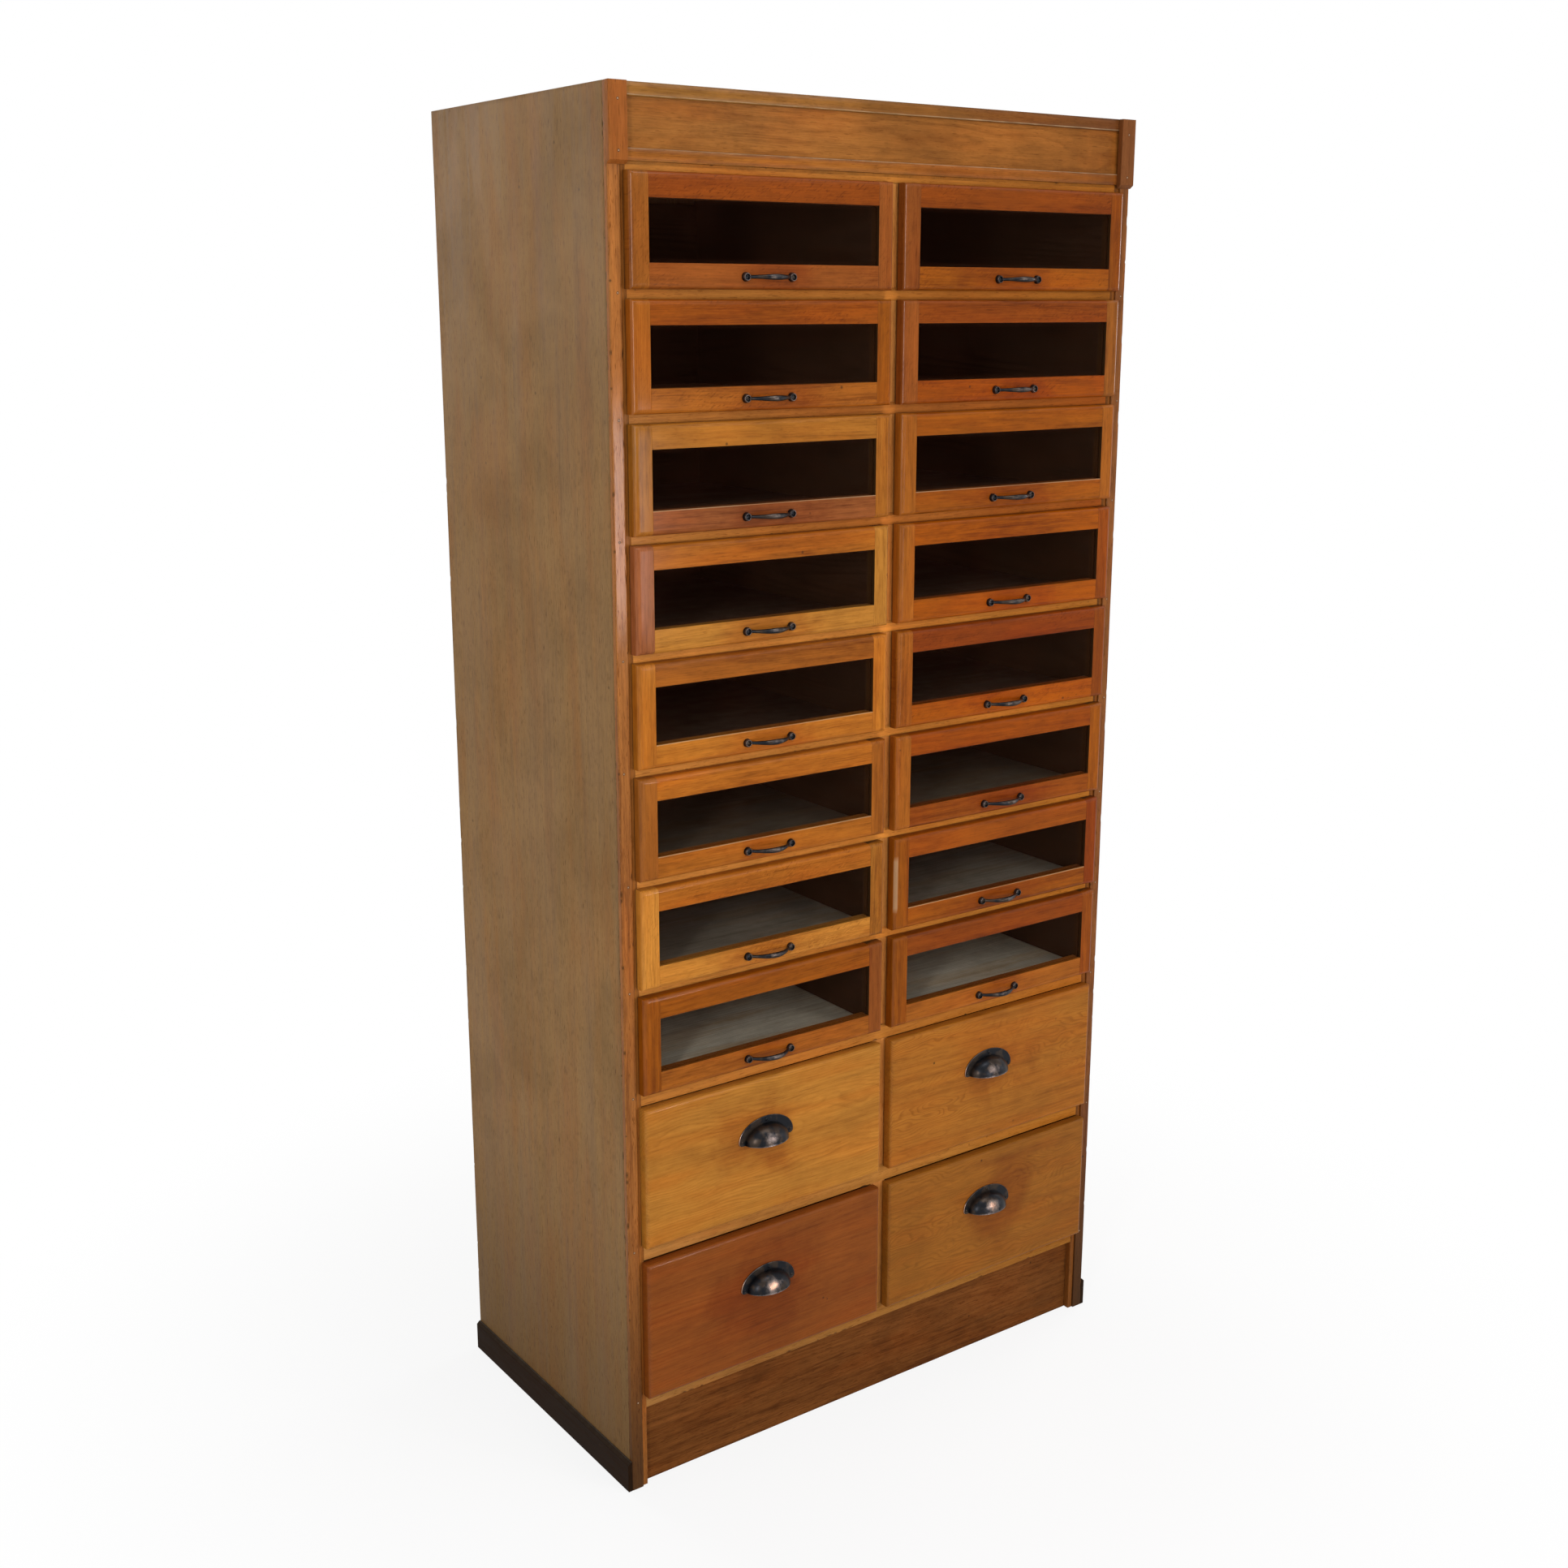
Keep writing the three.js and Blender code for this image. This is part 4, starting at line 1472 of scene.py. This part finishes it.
def addMember(pile, along, start, end, outer, inner, face, back, board, endRound, shades,
              groove=None, grooveRun=None, radius=None, innerRound=None, spread=(), lipHighlight=0.0):
    # one member of a front: outer is its rounded edge, inner the edge towards the window;
    # shades are the painted shade on the outer edge, the inner edge, the start and the end
    values = frontValues
    cross = 2 if along == 0 else 0
    steps = values["roundSteps"]
    inward = 1 if inner > outer else -1
    radius = radius or values["round"]
    closing = quarterSteps(endRound, steps)
    stations = [(start + d, lift, shades[2] * lift / endRound) for d, lift in closing]
    straight = end - start - 2 * endRound
    count = max(1, int(straight / values["stationStep"]))
    middles = {start + endRound + straight * i / count for i in range(1, count)}
    middles.update(grooveRun or ())
    stations += [(s, 0.0, 0.0) for s in sorted(middles)]
    stations += [(end - d, lift, shades[3] * lift / endRound) for d, lift in reversed(closing)]
    count = steps + 1  # points of each rounded corner
    rings, wearAndPaintedLight = [], []
    for s, lift, endShade in stations:
        corners = [(outer, back), (outer, face), (inner, face), (inner, back)]
        radii = [
            values["backRound"], radius, innerRound or values["joint"], values["backArris"]
        ]
        outline = roundCorners(corners, radii, steps)
        outerFade, innerFade = values["outerFade"], values["innerFade"]
        # painted shadow on the back edge, painted shade fading in from the outer and the inner
        # edge, and a painted highlight on the lip where one is given
        shade = [values["paintedBackShadow"]] * count
        shade += [shades[0] * (1 - i / steps) ** outerFade for i in range(count)]
        shade += [lipHighlight or shades[1] * (i / steps) ** innerFade for i in range(count)]
        shade += [shades[1]] * count
        if groove:
            inside = grooveRun is None or grooveRun[1] <= s <= grooveRun[-2]
            bite = groove["depth"] if inside else 0.0
            cut = [
                np.array((inner, groove["front"])),
                np.array((inner - inward * bite, groove["front"])),
                np.array((inner - inward * bite, groove["back"])),
                np.array((inner, groove["back"])),
            ]
            outline[3 * count:3 * count] = cut
            shade[3 * count:3 * count] = [shades[1]] * len(cut)
        for first, last, amount in spread:
            if first <= (s - start) / (end - start) <= last:
                shade[steps + 3:2 * steps + 1] = [amount] * (steps - 2)
        lip = max(values["lipReach"], (innerRound or 0.0) + values["lipMargin"])
        for index, point, amount in (
            (3 * count, (inner, face + lip), shades[1]),
            (2 * count, (inner - inward * lip, face), 0.0),
            (count, (outer, back - 2 * values["backRound"]), shades[0]),
        ):
            outline.insert(index, np.array(point))
            shade.insert(index, amount)
        ring = np.zeros((len(outline), 3))
        ring[:, along] = s
        ring[:, cross] = [p[0] for p in outline]
        ring[:, 1] = [max(p[1], face + lift) for p in outline]
        rings.append(ring)
        wearAndPaintedLight += [max(value, endShade) if value >= 0 else value for value in shade]
    addLoft(pile, rings, board, wearAndPaintedLight)


def buildDisplayFront(side, number):
    values = frontValues
    low, high = frontOf(side, number)
    paneLow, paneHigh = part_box(f"glass_pane_{side}_{number}")
    face = paneLow.y - values["glassSetback"]
    back = face + values["thickness"]
    whole = ((low.x, face, low.z), (high.x, back, high.z))
    innerLeft, innerRight = low.x + values["stile"], high.x - values["stile"]
    innerLow, innerHigh = low.z + values["rail"], high.z - values["rail"]
    groove = {
        "depth": values["glassBite"] + values["glassGap"],
        "front": paneLow.y - values["glassGap"],
        "back": paneHigh.y + values["glassGap"],
    }
    start, end = innerLow - groove["depth"], innerHigh + groove["depth"]
    run = (start, start + values["grooveStep"], end - values["grooveStep"], end)
    names = frontStains[side][number]
    # painted shade on each member's edges
    leftDirtAndShade, rightDirtAndShade, topDirtAndShade, bottomDirtAndShade, _ = values["dirtAndShade"]
    rubbed = values["rubbed"].get((side, number))
    quarter = 1.0 if number in quarterRows[side] else 0.0
    pile = newPile()
    for outer, inner, name, dirtAndShade, spread in (
        (low.x, innerLeft, names[0], leftDirtAndShade, [rubbed] if rubbed else ()),
        (high.x, innerRight, names[1], rightDirtAndShade, ()),
    ):
        board = newBoard(
            (min(outer, inner), face, low.z), (max(outer, inner), back, high.z), name, 2, 1,
            quarter * values["stileQuarter"], whole,
        )
        addMember(pile, 2, low.z, high.z, outer, inner, face, back, board, values["round"], dirtAndShade,
                  groove, run, spread=spread)
    # some bottom rails get a painted highlight along the window's lip
    lipLight = values["paintedLipHighlight"] if (side, number) in values["paintedHighlightLips"] else 0.0
    for outer, inner, name, dirtAndShade, lip in (
        (high.z, innerHigh, names[2], topDirtAndShade, 0.0), (low.z, innerLow, names[3], bottomDirtAndShade, lipLight),
    ):
        board = newBoard(
            (innerLeft, face, min(outer, inner)), (innerRight, back, max(outer, inner)), name,
            0, 1, quarter, whole,
            pull=((low.x + high.x) / 2, face, low.z + values["rail"] / 2),
        )
        addMember(pile, 0, innerLeft, innerRight, outer, inner, face, back, board,
                  values["joint"], dirtAndShade, groove, lipHighlight=lip,
                  innerRound=values["lipRound"] if lip else None)
    finishPiece(f"drawerFront_{side}_{number}", pile, "varnished oak", f"drawer_{side}_{number}",
                [f"display_drawer_{side}_{number}"])
    return face, back


def buildDeepFront(side, number):
    values = frontValues
    low, high = frontOf(side, number)
    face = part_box(f"glass_pane_{side}_1")[0].y - values["glassSetback"]
    back = face + values["thickness"]
    pile = newPile()
    cupLow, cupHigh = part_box(f"cup_pull_{side}_{number}")
    board = newBoard(
        (low.x, face, low.z), (high.x, back, high.z), frontStains[side][number][0], 0, 1,
        swirl=values["swirls"][side, number], pull=((cupLow.x + cupHigh.x) / 2, face, cupLow.z),
    )
    addMember(pile, 0, low.x, high.x, low.z, high.z, face, back, board, values["deepRound"],
              values["dirtAndShade"][-1], radius=values["deepRound"], innerRound=values["deepRound"])
    finishPiece(f"drawerFront_{side}_{number}", pile, "board oak", f"drawer_{side}_{number}",
                [f"deep_drawer_{side}_{number}"])
    return face, back


# Drawer boxes behind the fronts
boxValues = {
    "fromEdge": 5.5 * mm,
    "runClearance": 0.5 * mm,
    "topClearance": 5 * mm,
    "bottomLift": 6 * mm,
    "bottomThickness": 5 * mm,
    "backDrop": 6 * mm,
    "displayBoard": 10 * mm,
    "deepBoard": 12 * mm,
    "arris": 0.8 * mm,
    "bottomArris": 0.3 * mm,
    "bottomBite": 0.2 * mm,
    "sideChips": 1.0,
    # colours of the bottoms, dark high up and pale low down: painted shade in the high drawers,
    # and painted light in the low ones
    "bottoms": {
        1: "soot", 2: "soot", 3: "peat", 4: "peat", 5: "peat", 6: "slate", 7: "ash", 8: "linen",
        9: "lining", 10: "lining",
    },
}


def buildBox(side, number, back):
    values = boxValues
    low, high = frontOf(side, number)
    deep = number in deepRows
    board = values["deepBoard"] if deep else values["displayBoard"]
    left, right = low.x + values["fromEdge"], high.x - values["fromEdge"]
    bottom = low.z + frameValues["lip"] + values["runClearance"]
    above = frameValues["deepTopGap"] if deep else -frameValues["displayLipUp"]
    top = high.z + above - values["topClearance"]
    end = high.y
    arris, bite = values["arris"], values["bottomBite"]
    pile = newPile()
    for x0, x1 in ((left, left + board), (right - board, right)):
        addBoard(pile, (x0, back, bottom), (x1, end, top), "boxSide", 1, 0, arris,
                 values["sideChips"])
    addBoard(pile, (left + board, end - board, bottom),
             (right - board, end, top - values["backDrop"]), "boxSide", 0, 1, arris)
    floor = bottom + values["bottomLift"]
    addBoard(pile, (left + board - bite, back, floor),
             (right - board + bite, end - board, floor + values["bottomThickness"]),
             values["bottoms"][number], 0, 2, values["bottomArris"])
    finishPiece(f"drawerBox_{side}_{number}", pile, "bare wood", f"drawer_{side}_{number}",
                [f"{'deep' if deep else 'display'}_drawer_{side}_{number}"])


paneArris = 0.3 * mm


def buildPane(side, number):
    pile = newPile()
    low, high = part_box(f"glass_pane_{side}_{number}")
    addBoard(pile, low, high, "lining", 0, 1, paneArris, coarse=1.0)
    finishPiece(f"glassPane_{side}_{number}", pile, "glass", f"drawer_{side}_{number}",
                [f"glass_pane_{side}_{number}"])


def lathe(centre, profile, around):
    # rings round an axis that points to the front
    return [
        [
            (centre[0] + radius * math.cos(a), centre[1] - out, centre[2] + radius * math.sin(a))
            for a in (2 * math.pi * i / around for i in range(around))
        ]
        for radius, out in profile
    ]


# A screw's domed head: the shares of its radius where it is drawn, and its slot
screwValues = {
    "shares": (-1, -0.93, -0.8, -0.6, -0.35, -0.132, -0.13, 0.13, 0.132, 0.35, 0.6, 0.8, 0.93, 1),
    "slotHalf": 0.13,
    "slotDepth": 0.7,
    "dome": 0.8,
    "steps": 8,
    "rim": 0.05 * mm,
    "sunk": -0.3 * mm,
}


def addScrew(pile, centre, radius, height, angle, board):
    values = screwValues
    turn, lean = math.cos(angle), math.sin(angle)
    rings = []
    for share in values["shares"]:
        width = math.sqrt(max(0.0, 1 - share * share))
        drop = values["slotDepth"] * height if abs(share) <= values["slotHalf"] else 0.0
        ring = []
        for i in range(values["steps"] + 1):
            along = math.cos(math.pi * i / values["steps"]) * width
            dome = math.sqrt(max(0.0, 1 - values["dome"] * (share * share + along * along)))
            ring.append((share * radius, along * radius, max(height * dome - drop, values["rim"])))
        ring += [(share * radius, end * width * radius, values["sunk"]) for end in (-1, 1)]
        rings.append([
            (centre[0] + a * turn - b * lean, centre[1] - out, centre[2] + a * lean + b * turn)
            for a, b, out in ring
        ])
    addLoft(pile, rings, board)


# Bow pulls: a swelling bar between two bosses, each with a slotted screw in its cup
bowValues = {
    "span": 76 * mm,
    "reach": 23 * mm,
    "thick": 4 * mm,
    "thin": 2.3 * mm,
    "curve": 0.8,
    "slopeStep": 0.02,
    "shank": 33 * mm,
    "shankLift": 2.6 * mm,
    "around": 20,
    "stations": 30,
    "boss": 6.3 * mm,
    # from the seat to the rim, then into the cup: shares of each radius, and how far out
    "bossProfile": (
        (1.0, 0.0), (1.0, 0.9 * mm), (0.93, 1.8 * mm), (0.9, 3.3 * mm), (0.84, 4.84 * mm),
        (0.76, 5.5 * mm),
    ),
    "cup": 3.9 * mm,
    "cupProfile": ((1.06, 5.5 * mm), (1.0, 5.115 * mm), (0.97, 3.3 * mm)),
    "bossAround": 24,
    "screw": 3.2 * mm,
    "screwHeight": 1.5 * mm,
    # the bar is paler where it faces forward and up: rubbed wear and a painted sheen
    "barWearAndSheen": 0.42,
    "wearAndSheenFacing": (0.7, 0.5),
    # a paler ring on each boss's rim: rubbed wear and a painted highlight
    "rimWearAndHighlight": 0.38,
}


def buildBowPull(side, number, face):
    values = bowValues
    low, high = frontOf(side, number)
    centre = ((low.x + high.x) / 2, face, low.z + frontValues["rail"] / 2)
    half, boss, cup = values["span"] / 2, values["boss"], values["cup"]
    bounds = (
        (centre[0] - half, face - values["reach"], centre[2] - boss),
        (centre[0] + half, face, centre[2] + boss),
    )
    board = newBoard(*bounds, "umber", 0, 1)
    pile = newPile()

    def liftAt(share):
        # how far the bar's middle stands off the front, from end (-1) to end (1)
        rise = values["reach"] - values["thick"] - values["shankLift"]
        return values["shankLift"] + rise * math.cos(share * math.pi / 2) ** values["curve"]

    rings, wearAndPaintedLight = [], []
    for i in range(values["stations"] + 1):
        share = 2 * i / values["stations"] - 1
        swell = math.cos(share * math.pi / 2) ** 2
        ahead = min(1.0, share + values["slopeStep"])
        behind = max(-1.0, share - values["slopeStep"])
        slope = Vector(((ahead - behind) * values["shank"], liftAt(ahead) - liftAt(behind)))
        slope.normalize()
        radius = values["thin"] + (values["thick"] - values["thin"]) * swell
        ring = []
        for k in range(values["around"]):
            a = 2 * math.pi * k / values["around"]
            across, up = radius * math.cos(a), radius * math.sin(a)
            ring.append((
                centre[0] + share * values["shank"] - slope.y * across,
                centre[1] - liftAt(share) - slope.x * across,
                centre[2] + up,
            ))
            # paler where the bar faces forward and up: rubbed wear and a painted sheen
            front, top = values["wearAndSheenFacing"]
            shown = max(0.0, math.cos(a) * front + math.sin(a) * top)
            wearAndPaintedLight.append(values["barWearAndSheen"] * swell * shown)
        rings.append(ring)
    addLoft(pile, rings, board, wearAndPaintedLight)
    profile = [(boss * share, out) for share, out in values["bossProfile"]]
    profile += [(cup * share, out) for share, out in values["cupProfile"]]
    around, floor = values["bossAround"], profile[-1][1]
    # a paler ring round each boss's rim: rubbed wear and a painted highlight
    wearAndPaintedLight = [
        values["rimWearAndHighlight"] if 3 <= index <= 6 else 0.0
        for index in range(len(profile)) for _ in range(around)
    ]
    for end in (-1, 1):
        spot = (centre[0] + end * half, centre[1], centre[2])
        addLoft(pile, lathe(spot, profile, around), board, wearAndPaintedLight)
        turn = 0.6 + 1.3 * number + end + (2.0 if side == "right" else 0.0)
        addScrew(pile, (spot[0], spot[1] - floor, spot[2]), values["screw"],
                 values["screwHeight"], turn, board)
    finishPiece(f"bowPull_{side}_{number}", pile, "bronze", f"drawer_{side}_{number}")


# Cup pulls: a hollow half dome with a flared rim, on a flange with three screws
cupValues = {
    "flange": 11 * mm,
    "flangeThickness": 1.6 * mm,
    "flangeEdge": 0.6 * mm,
    "flangeBevel": 0.85,
    "tuck": 0.8 * mm,
    "wall": 1.7 * mm,
    "lobe": 5.5 * mm,
    "flare": 0.9 * mm,
    "flareReach": 0.07,
    "screw": 2.6 * mm,
    "screwHeight": 1.1 * mm,
    "around": 40,
    "across": 14,
    "tipSteps": 6,
    "archSteps": 36,
    # where fingers rub: how much for each pull, then the middle and width of the patch
    "rubbed": {("left", 9): 0.55, ("left", 10): 0.95, ("right", 9): 0.5, ("right", 10): 0.9},
    "patchAcross": (-0.12, 0.36),
    "patchUp": (0.5, 0.42),
    # the dome's rim is paler: rubbed wear and a painted highlight
    "rimWearAndHighlight": 0.5,
    "innerWear": 0.1,
    "edgeWear": 0.35,
    "tipWear": (0.86, 5),
}


def arc(hub, reach, start, end, steps, skip=0):
    return [
        (hub[0] + reach[0] * math.cos(a), hub[1] + reach[1] * math.sin(a))
        for a in (start + (end - start) * i / steps for i in range(skip, steps + 1 - skip))
    ]


def buildCupPull(side, number):
    values = cupValues
    low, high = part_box(f"cup_pull_{side}_{number}")
    pile = newPile()
    board = newBoard(low, high, "umber", 0, 1)
    x, seat, foot = (low.x + high.x) / 2, high.y, low.z
    width, height, reach = high.x - low.x, high.z - low.z, high.y - low.y
    domeX, domeZ = width / 2 - values["flange"], height - values["flange"]
    acrossMiddle, acrossWidth = values["patchAcross"]
    upMiddle, upWidth = values["patchUp"]
    rings, wearAndPaintedLight = [], []
    for i in range(values["around"] + 1):
        a = math.pi * i / values["around"]
        radial = math.sin(a)
        ring = []
        for inner in (False, True):
            shrink = values["wall"] if inner else 0.0
            order = range(values["across"] + 1)
            for j in (reversed(order) if inner else order):
                b = math.pi / 2 * j / values["across"]
                flare = values["flare"] * math.exp(-(b / values["flareReach"]) ** 2) * radial
                front = radial * math.cos(b)
                ring.append((
                    x + (domeX - shrink) * math.cos(a),
                    seat - (reach - shrink - values["flare"] + flare) * front,
                    foot + (domeZ - shrink) * radial * math.sin(b),
                ))
                sideways = (math.cos(a) - acrossMiddle) / acrossWidth
                patch = math.exp(-sideways ** 2 - ((b - upMiddle) / upWidth) ** 2)
                rubbed = values["rubbed"][side, number] * patch * front
                # the dome's rim is paler: rubbed wear and a painted highlight
                rim = 0.0 if j else values["rimWearAndHighlight"]
                wearAndPaintedLight.append(0.0 if inner else max(rubbed, rim))
        rings.append(ring)
    addLoft(pile, rings, board, wearAndPaintedLight)
    lobe, right = values["lobe"], math.pi / 2
    lobeX = width / 2 - lobe
    outline = [(domeX, 0.0)]
    outline += arc((lobeX, lobe), (lobe, lobe), -right, 0.0, values["tipSteps"])
    outline += arc((0.0, lobe), (width / 2, height - lobe), 0.0, math.pi, values["archSteps"], 1)
    outline += arc((-lobeX, lobe), (lobe, lobe), math.pi, 3 * right, values["tipSteps"])
    outline.append((-domeX, 0.0))
    thick, edge = values["flangeThickness"], values["flangeEdge"]
    tipFrom, tipGain = values["tipWear"]
    rings, wearAndPaintedLight = [], []
    for across, up in outline:
        a = math.atan2(up, across)
        inX = (domeX - values["tuck"]) * math.cos(a)
        inZ = (domeZ - values["tuck"]) * math.sin(a)
        away = Vector((across - inX, up - inZ))
        share = max(0.0, 1 - edge / away.length) if away.length > edge else 0.0
        rings.append([
            (x + inX + away.x * out, seat - rise, foot + inZ + away.y * out)
            for out, rise in (
                (0.0, 0.0), (0.0, thick), (share, thick),
                ((share + 1) / 2, thick * values["flangeBevel"]), (1.0, thick - edge), (1.0, 0.0),
            )
        ])
        tip = max(0.0, abs(across) / (width / 2) - tipFrom) * tipGain
        outerWear = min(1.0, values["edgeWear"] + tip)
        wearAndPaintedLight += [0.0, 0.0, values["innerWear"], outerWear, outerWear, 0.0]
    addLoft(pile, rings, board, wearAndPaintedLight)
    for index, (across, up) in enumerate(((lobeX, lobe), (0.0, height - lobe), (-lobeX, lobe))):
        addScrew(pile, (x + across, seat - thick, foot + up), values["screw"],
                 values["screwHeight"], 0.8 + 1.7 * index + number, board)
    finishPiece(f"cupPull_{side}_{number}", pile, "bronze", f"drawer_{side}_{number}",
                [f"cup_pull_{side}_{number}"])


for side in sides:
    for number in displayRows:
        face, back = buildDisplayFront(side, number)
        buildBox(side, number, back)
        buildPane(side, number)
        buildBowPull(side, number, face)
    for number in deepRows:
        face, back = buildDeepFront(side, number)
        buildBox(side, number, back)
        buildCupPull(side, number)
print("drawers built")


# Nails in the stiles and the frieze blocks: sunk, with stopping over them and rust round it
nailValues = {
    "hole": 1.9 * mm,
    "stopping": 1.2 * mm,
    "proud": 0.12 * mm,
    "holeProud": 0.072 * mm,
    "sunk": -1.0 * mm,
    "edge": 0.85,
    "middle": 0.3,
    "around": 12,
    "seed": 5,
    "across": (0.42, 0.72),
    "belowFront": 6 * mm,
    "scatter": 2 * mm,
    "blockFeet": (16 * mm, 78 * mm),
}


def buildNails():
    values = nailValues
    holes, stopping = newPile(), newPile()
    draw = np.random.default_rng(values["seed"])
    spots = []
    for side in sides:
        low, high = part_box(f"front_stile_{side}")
        for number in (*displayRows, *deepRows):
            x = low.x + (high.x - low.x) * draw.uniform(*values["across"])
            foot = frontOf(side, number)[0].z - values["belowFront"]
            spots.append((x, low.y, foot + draw.uniform(-1, 1) * values["scatter"]))
        low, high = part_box(f"frieze_block_{side}")
        for foot in values["blockFeet"]:
            spots.append(((low.x + high.x) / 2, low.y, low.z + foot))
    for spot in spots:
        for pile, radius, proud in (
            (holes, values["hole"], values["holeProud"]),
            (stopping, values["stopping"], values["proud"]),
        ):
            board = newBoard([s - radius for s in spot], [s + radius for s in spot], "umber", 0, 1)
            profile = [
                (radius, values["sunk"]), (radius, 0.0),
                (radius * values["edge"], proud), (radius * values["middle"], proud),
            ]
            addLoft(pile, lathe(spot, profile, values["around"]), board)
    finishPiece("nailHoles", holes, "iron", "case")
    finishPiece("nailStopping", stopping, "stopping", "case")


buildNails()

for name in (
    "bottom_board", "runner_ladder_left", "runner_ladder_right", "centre_partition", "plinth_back",
):
    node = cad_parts[name]
    node.data.materials.clear()
    node.data.materials.append(materials["inner wood"])
print("small parts built")


# The studio: floor, world and lamps
def seenRays(tree):
    # rays that show the background: from the camera, in a gloss and through glass
    rays = addNode(tree, "ShaderNodeLightPath").outputs
    seen = calc(tree, "ADD", rays["Is Camera Ray"], rays["Is Glossy Ray"], clamp=True)
    return calc(tree, "ADD", seen, rays["Is Transmission Ray"], clamp=True)


def addLight(tree, kind, shade, strength):
    node = addNode(tree, kind)
    node.inputs["Color"].default_value = shade
    node.inputs["Strength"].default_value = strength
    return node


def mixShaders(tree, out, factor, first, second):
    mix = addNode(tree, "ShaderNodeMixShader")
    plugAll(tree, mix.inputs, (factor, first.outputs[0], second.outputs[0]))
    tree.links.new(mix.outputs[0], out.inputs["Surface"])


floorValues = {
    "half": 14.0,
    "colour": (0.80, 0.80, 0.80, 1),
    "white": (1, 1, 1, 1),
    "glow": 0.85,
    "fadeFrom": 0.55,
    "fadeTo": 1.5,
}


def buildFloor():
    values = floorValues
    half = values["half"]
    corners = [(-half, -half, 0), (half, -half, 0), (half, half, 0), (-half, half, 0)]
    mesh = bpy.data.meshes.new("floor")
    mesh.from_pydata(corners, [], [(0, 1, 2, 3)])
    floor = bpy.data.objects.new("floor", mesh)
    bpy.context.scene.collection.objects.link(floor)
    material = bpy.data.materials.new("studio floor")
    tree = emptyTree(material)
    out = addNode(tree, "ShaderNodeOutputMaterial")
    matt = addNode(tree, "ShaderNodeBsdfDiffuse")
    matt.inputs["Color"].default_value = values["colour"]
    glow = addLight(tree, "ShaderNodeEmission", values["white"], 1.0)
    away = vectorCalc(tree, "LENGTH", placeOn(tree), output="Value")
    far = step(tree, away, values["fadeFrom"], values["fadeTo"], values["glow"], 1.0)
    mixShaders(tree, out, times(tree, far, seenRays(tree)), matt, glow)
    mesh.materials.append(material)


worldValues = {
    "ambient": (0.96, 0.98, 1.0, 1),
    "strength": 0.42,
    "white": (1, 1, 1, 1),
}


def makeWorld():
    values = worldValues
    world = bpy.data.worlds.new("studio")
    tree = emptyTree(world)
    out = addNode(tree, "ShaderNodeOutputWorld")
    soft = addLight(tree, "ShaderNodeBackground", values["ambient"], values["strength"])
    white = addLight(tree, "ShaderNodeBackground", values["white"], 1.0)
    mixShaders(tree, out, seenRays(tree), soft, white)
    bpy.context.scene.world = world


lampValues = {
    "key": {"place": (1.4, -3.1, 2.7), "aim": (0.0, 0.0, 1.0), "size": (1.3, 1.1), "power": 15.5,
            "colour": (1.0, 0.97, 0.93)},
    "window": {"place": (1.03, -2.77, 1.12), "aim": (-0.46, -0.24, 1.2), "size": (0.14, 0.62),
               "power": 11.0, "colour": (1.0, 0.93, 0.95)},
    "reveal": {"place": (0.3, -2.9, 0.8), "aim": (-0.2, -0.24, 1.2), "size": (0.12, 1.3),
               "power": 12.0, "colour": (1.0, 0.94, 0.93)},
    "edge": {"place": (2.7, -1.7, 1.1), "aim": (0.0, -0.2, 1.0), "size": (0.2, 1.4), "power": 7.0,
             "colour": (1.0, 0.95, 0.95)},
    "side": {"place": (-3.6, 0.3, 1.5), "aim": (-0.4, 0.1, 1.1), "size": (1.8, 1.8), "power": 10.0,
             "colour": (0.97, 0.99, 1.0)},
    "left": {"place": (-3.0, -2.4, 1.9), "aim": (0.0, -0.2, 1.1), "size": (0.4, 1.5),
             "power": 42.0, "colour": (1.0, 0.97, 0.94)},
    "right": {"place": (3.6, 0.7, 2.3), "aim": (0.4, 0.1, 1.1), "size": (1.8, 1.8), "power": 46.0,
              "colour": (1.0, 0.99, 0.97)},
    "back": {"place": (-0.6, 3.9, 2.4), "aim": (0.0, 0.2, 1.1), "size": (1.8, 1.8), "power": 60.0,
             "colour": (1.0, 0.99, 0.97)},
    "top": {"place": (0.2, -1.3, 3.7), "aim": (0.0, -0.2, 1.6), "size": (1.4, 0.8), "power": 20.0,
            "colour": (1.0, 0.98, 0.96)},
}


def makeLamps():
    for name, values in lampValues.items():
        light = bpy.data.lights.new(name, "AREA")
        light.shape = "RECTANGLE"
        light.size, light.size_y = values["size"]
        light.energy = values["power"]
        light.color = values["colour"]
        lamp = bpy.data.objects.new(name, light)
        lamp.location = values["place"]
        toAim = Vector(values["aim"]) - Vector(values["place"])
        lamp.rotation_euler = toAim.to_track_quat("-Z", "Y").to_euler()
        bpy.context.scene.collection.objects.link(lamp)


buildFloor()
makeWorld()
makeLamps()
bpy.context.scene.view_settings.view_transform = "Standard"
print("studio lit")
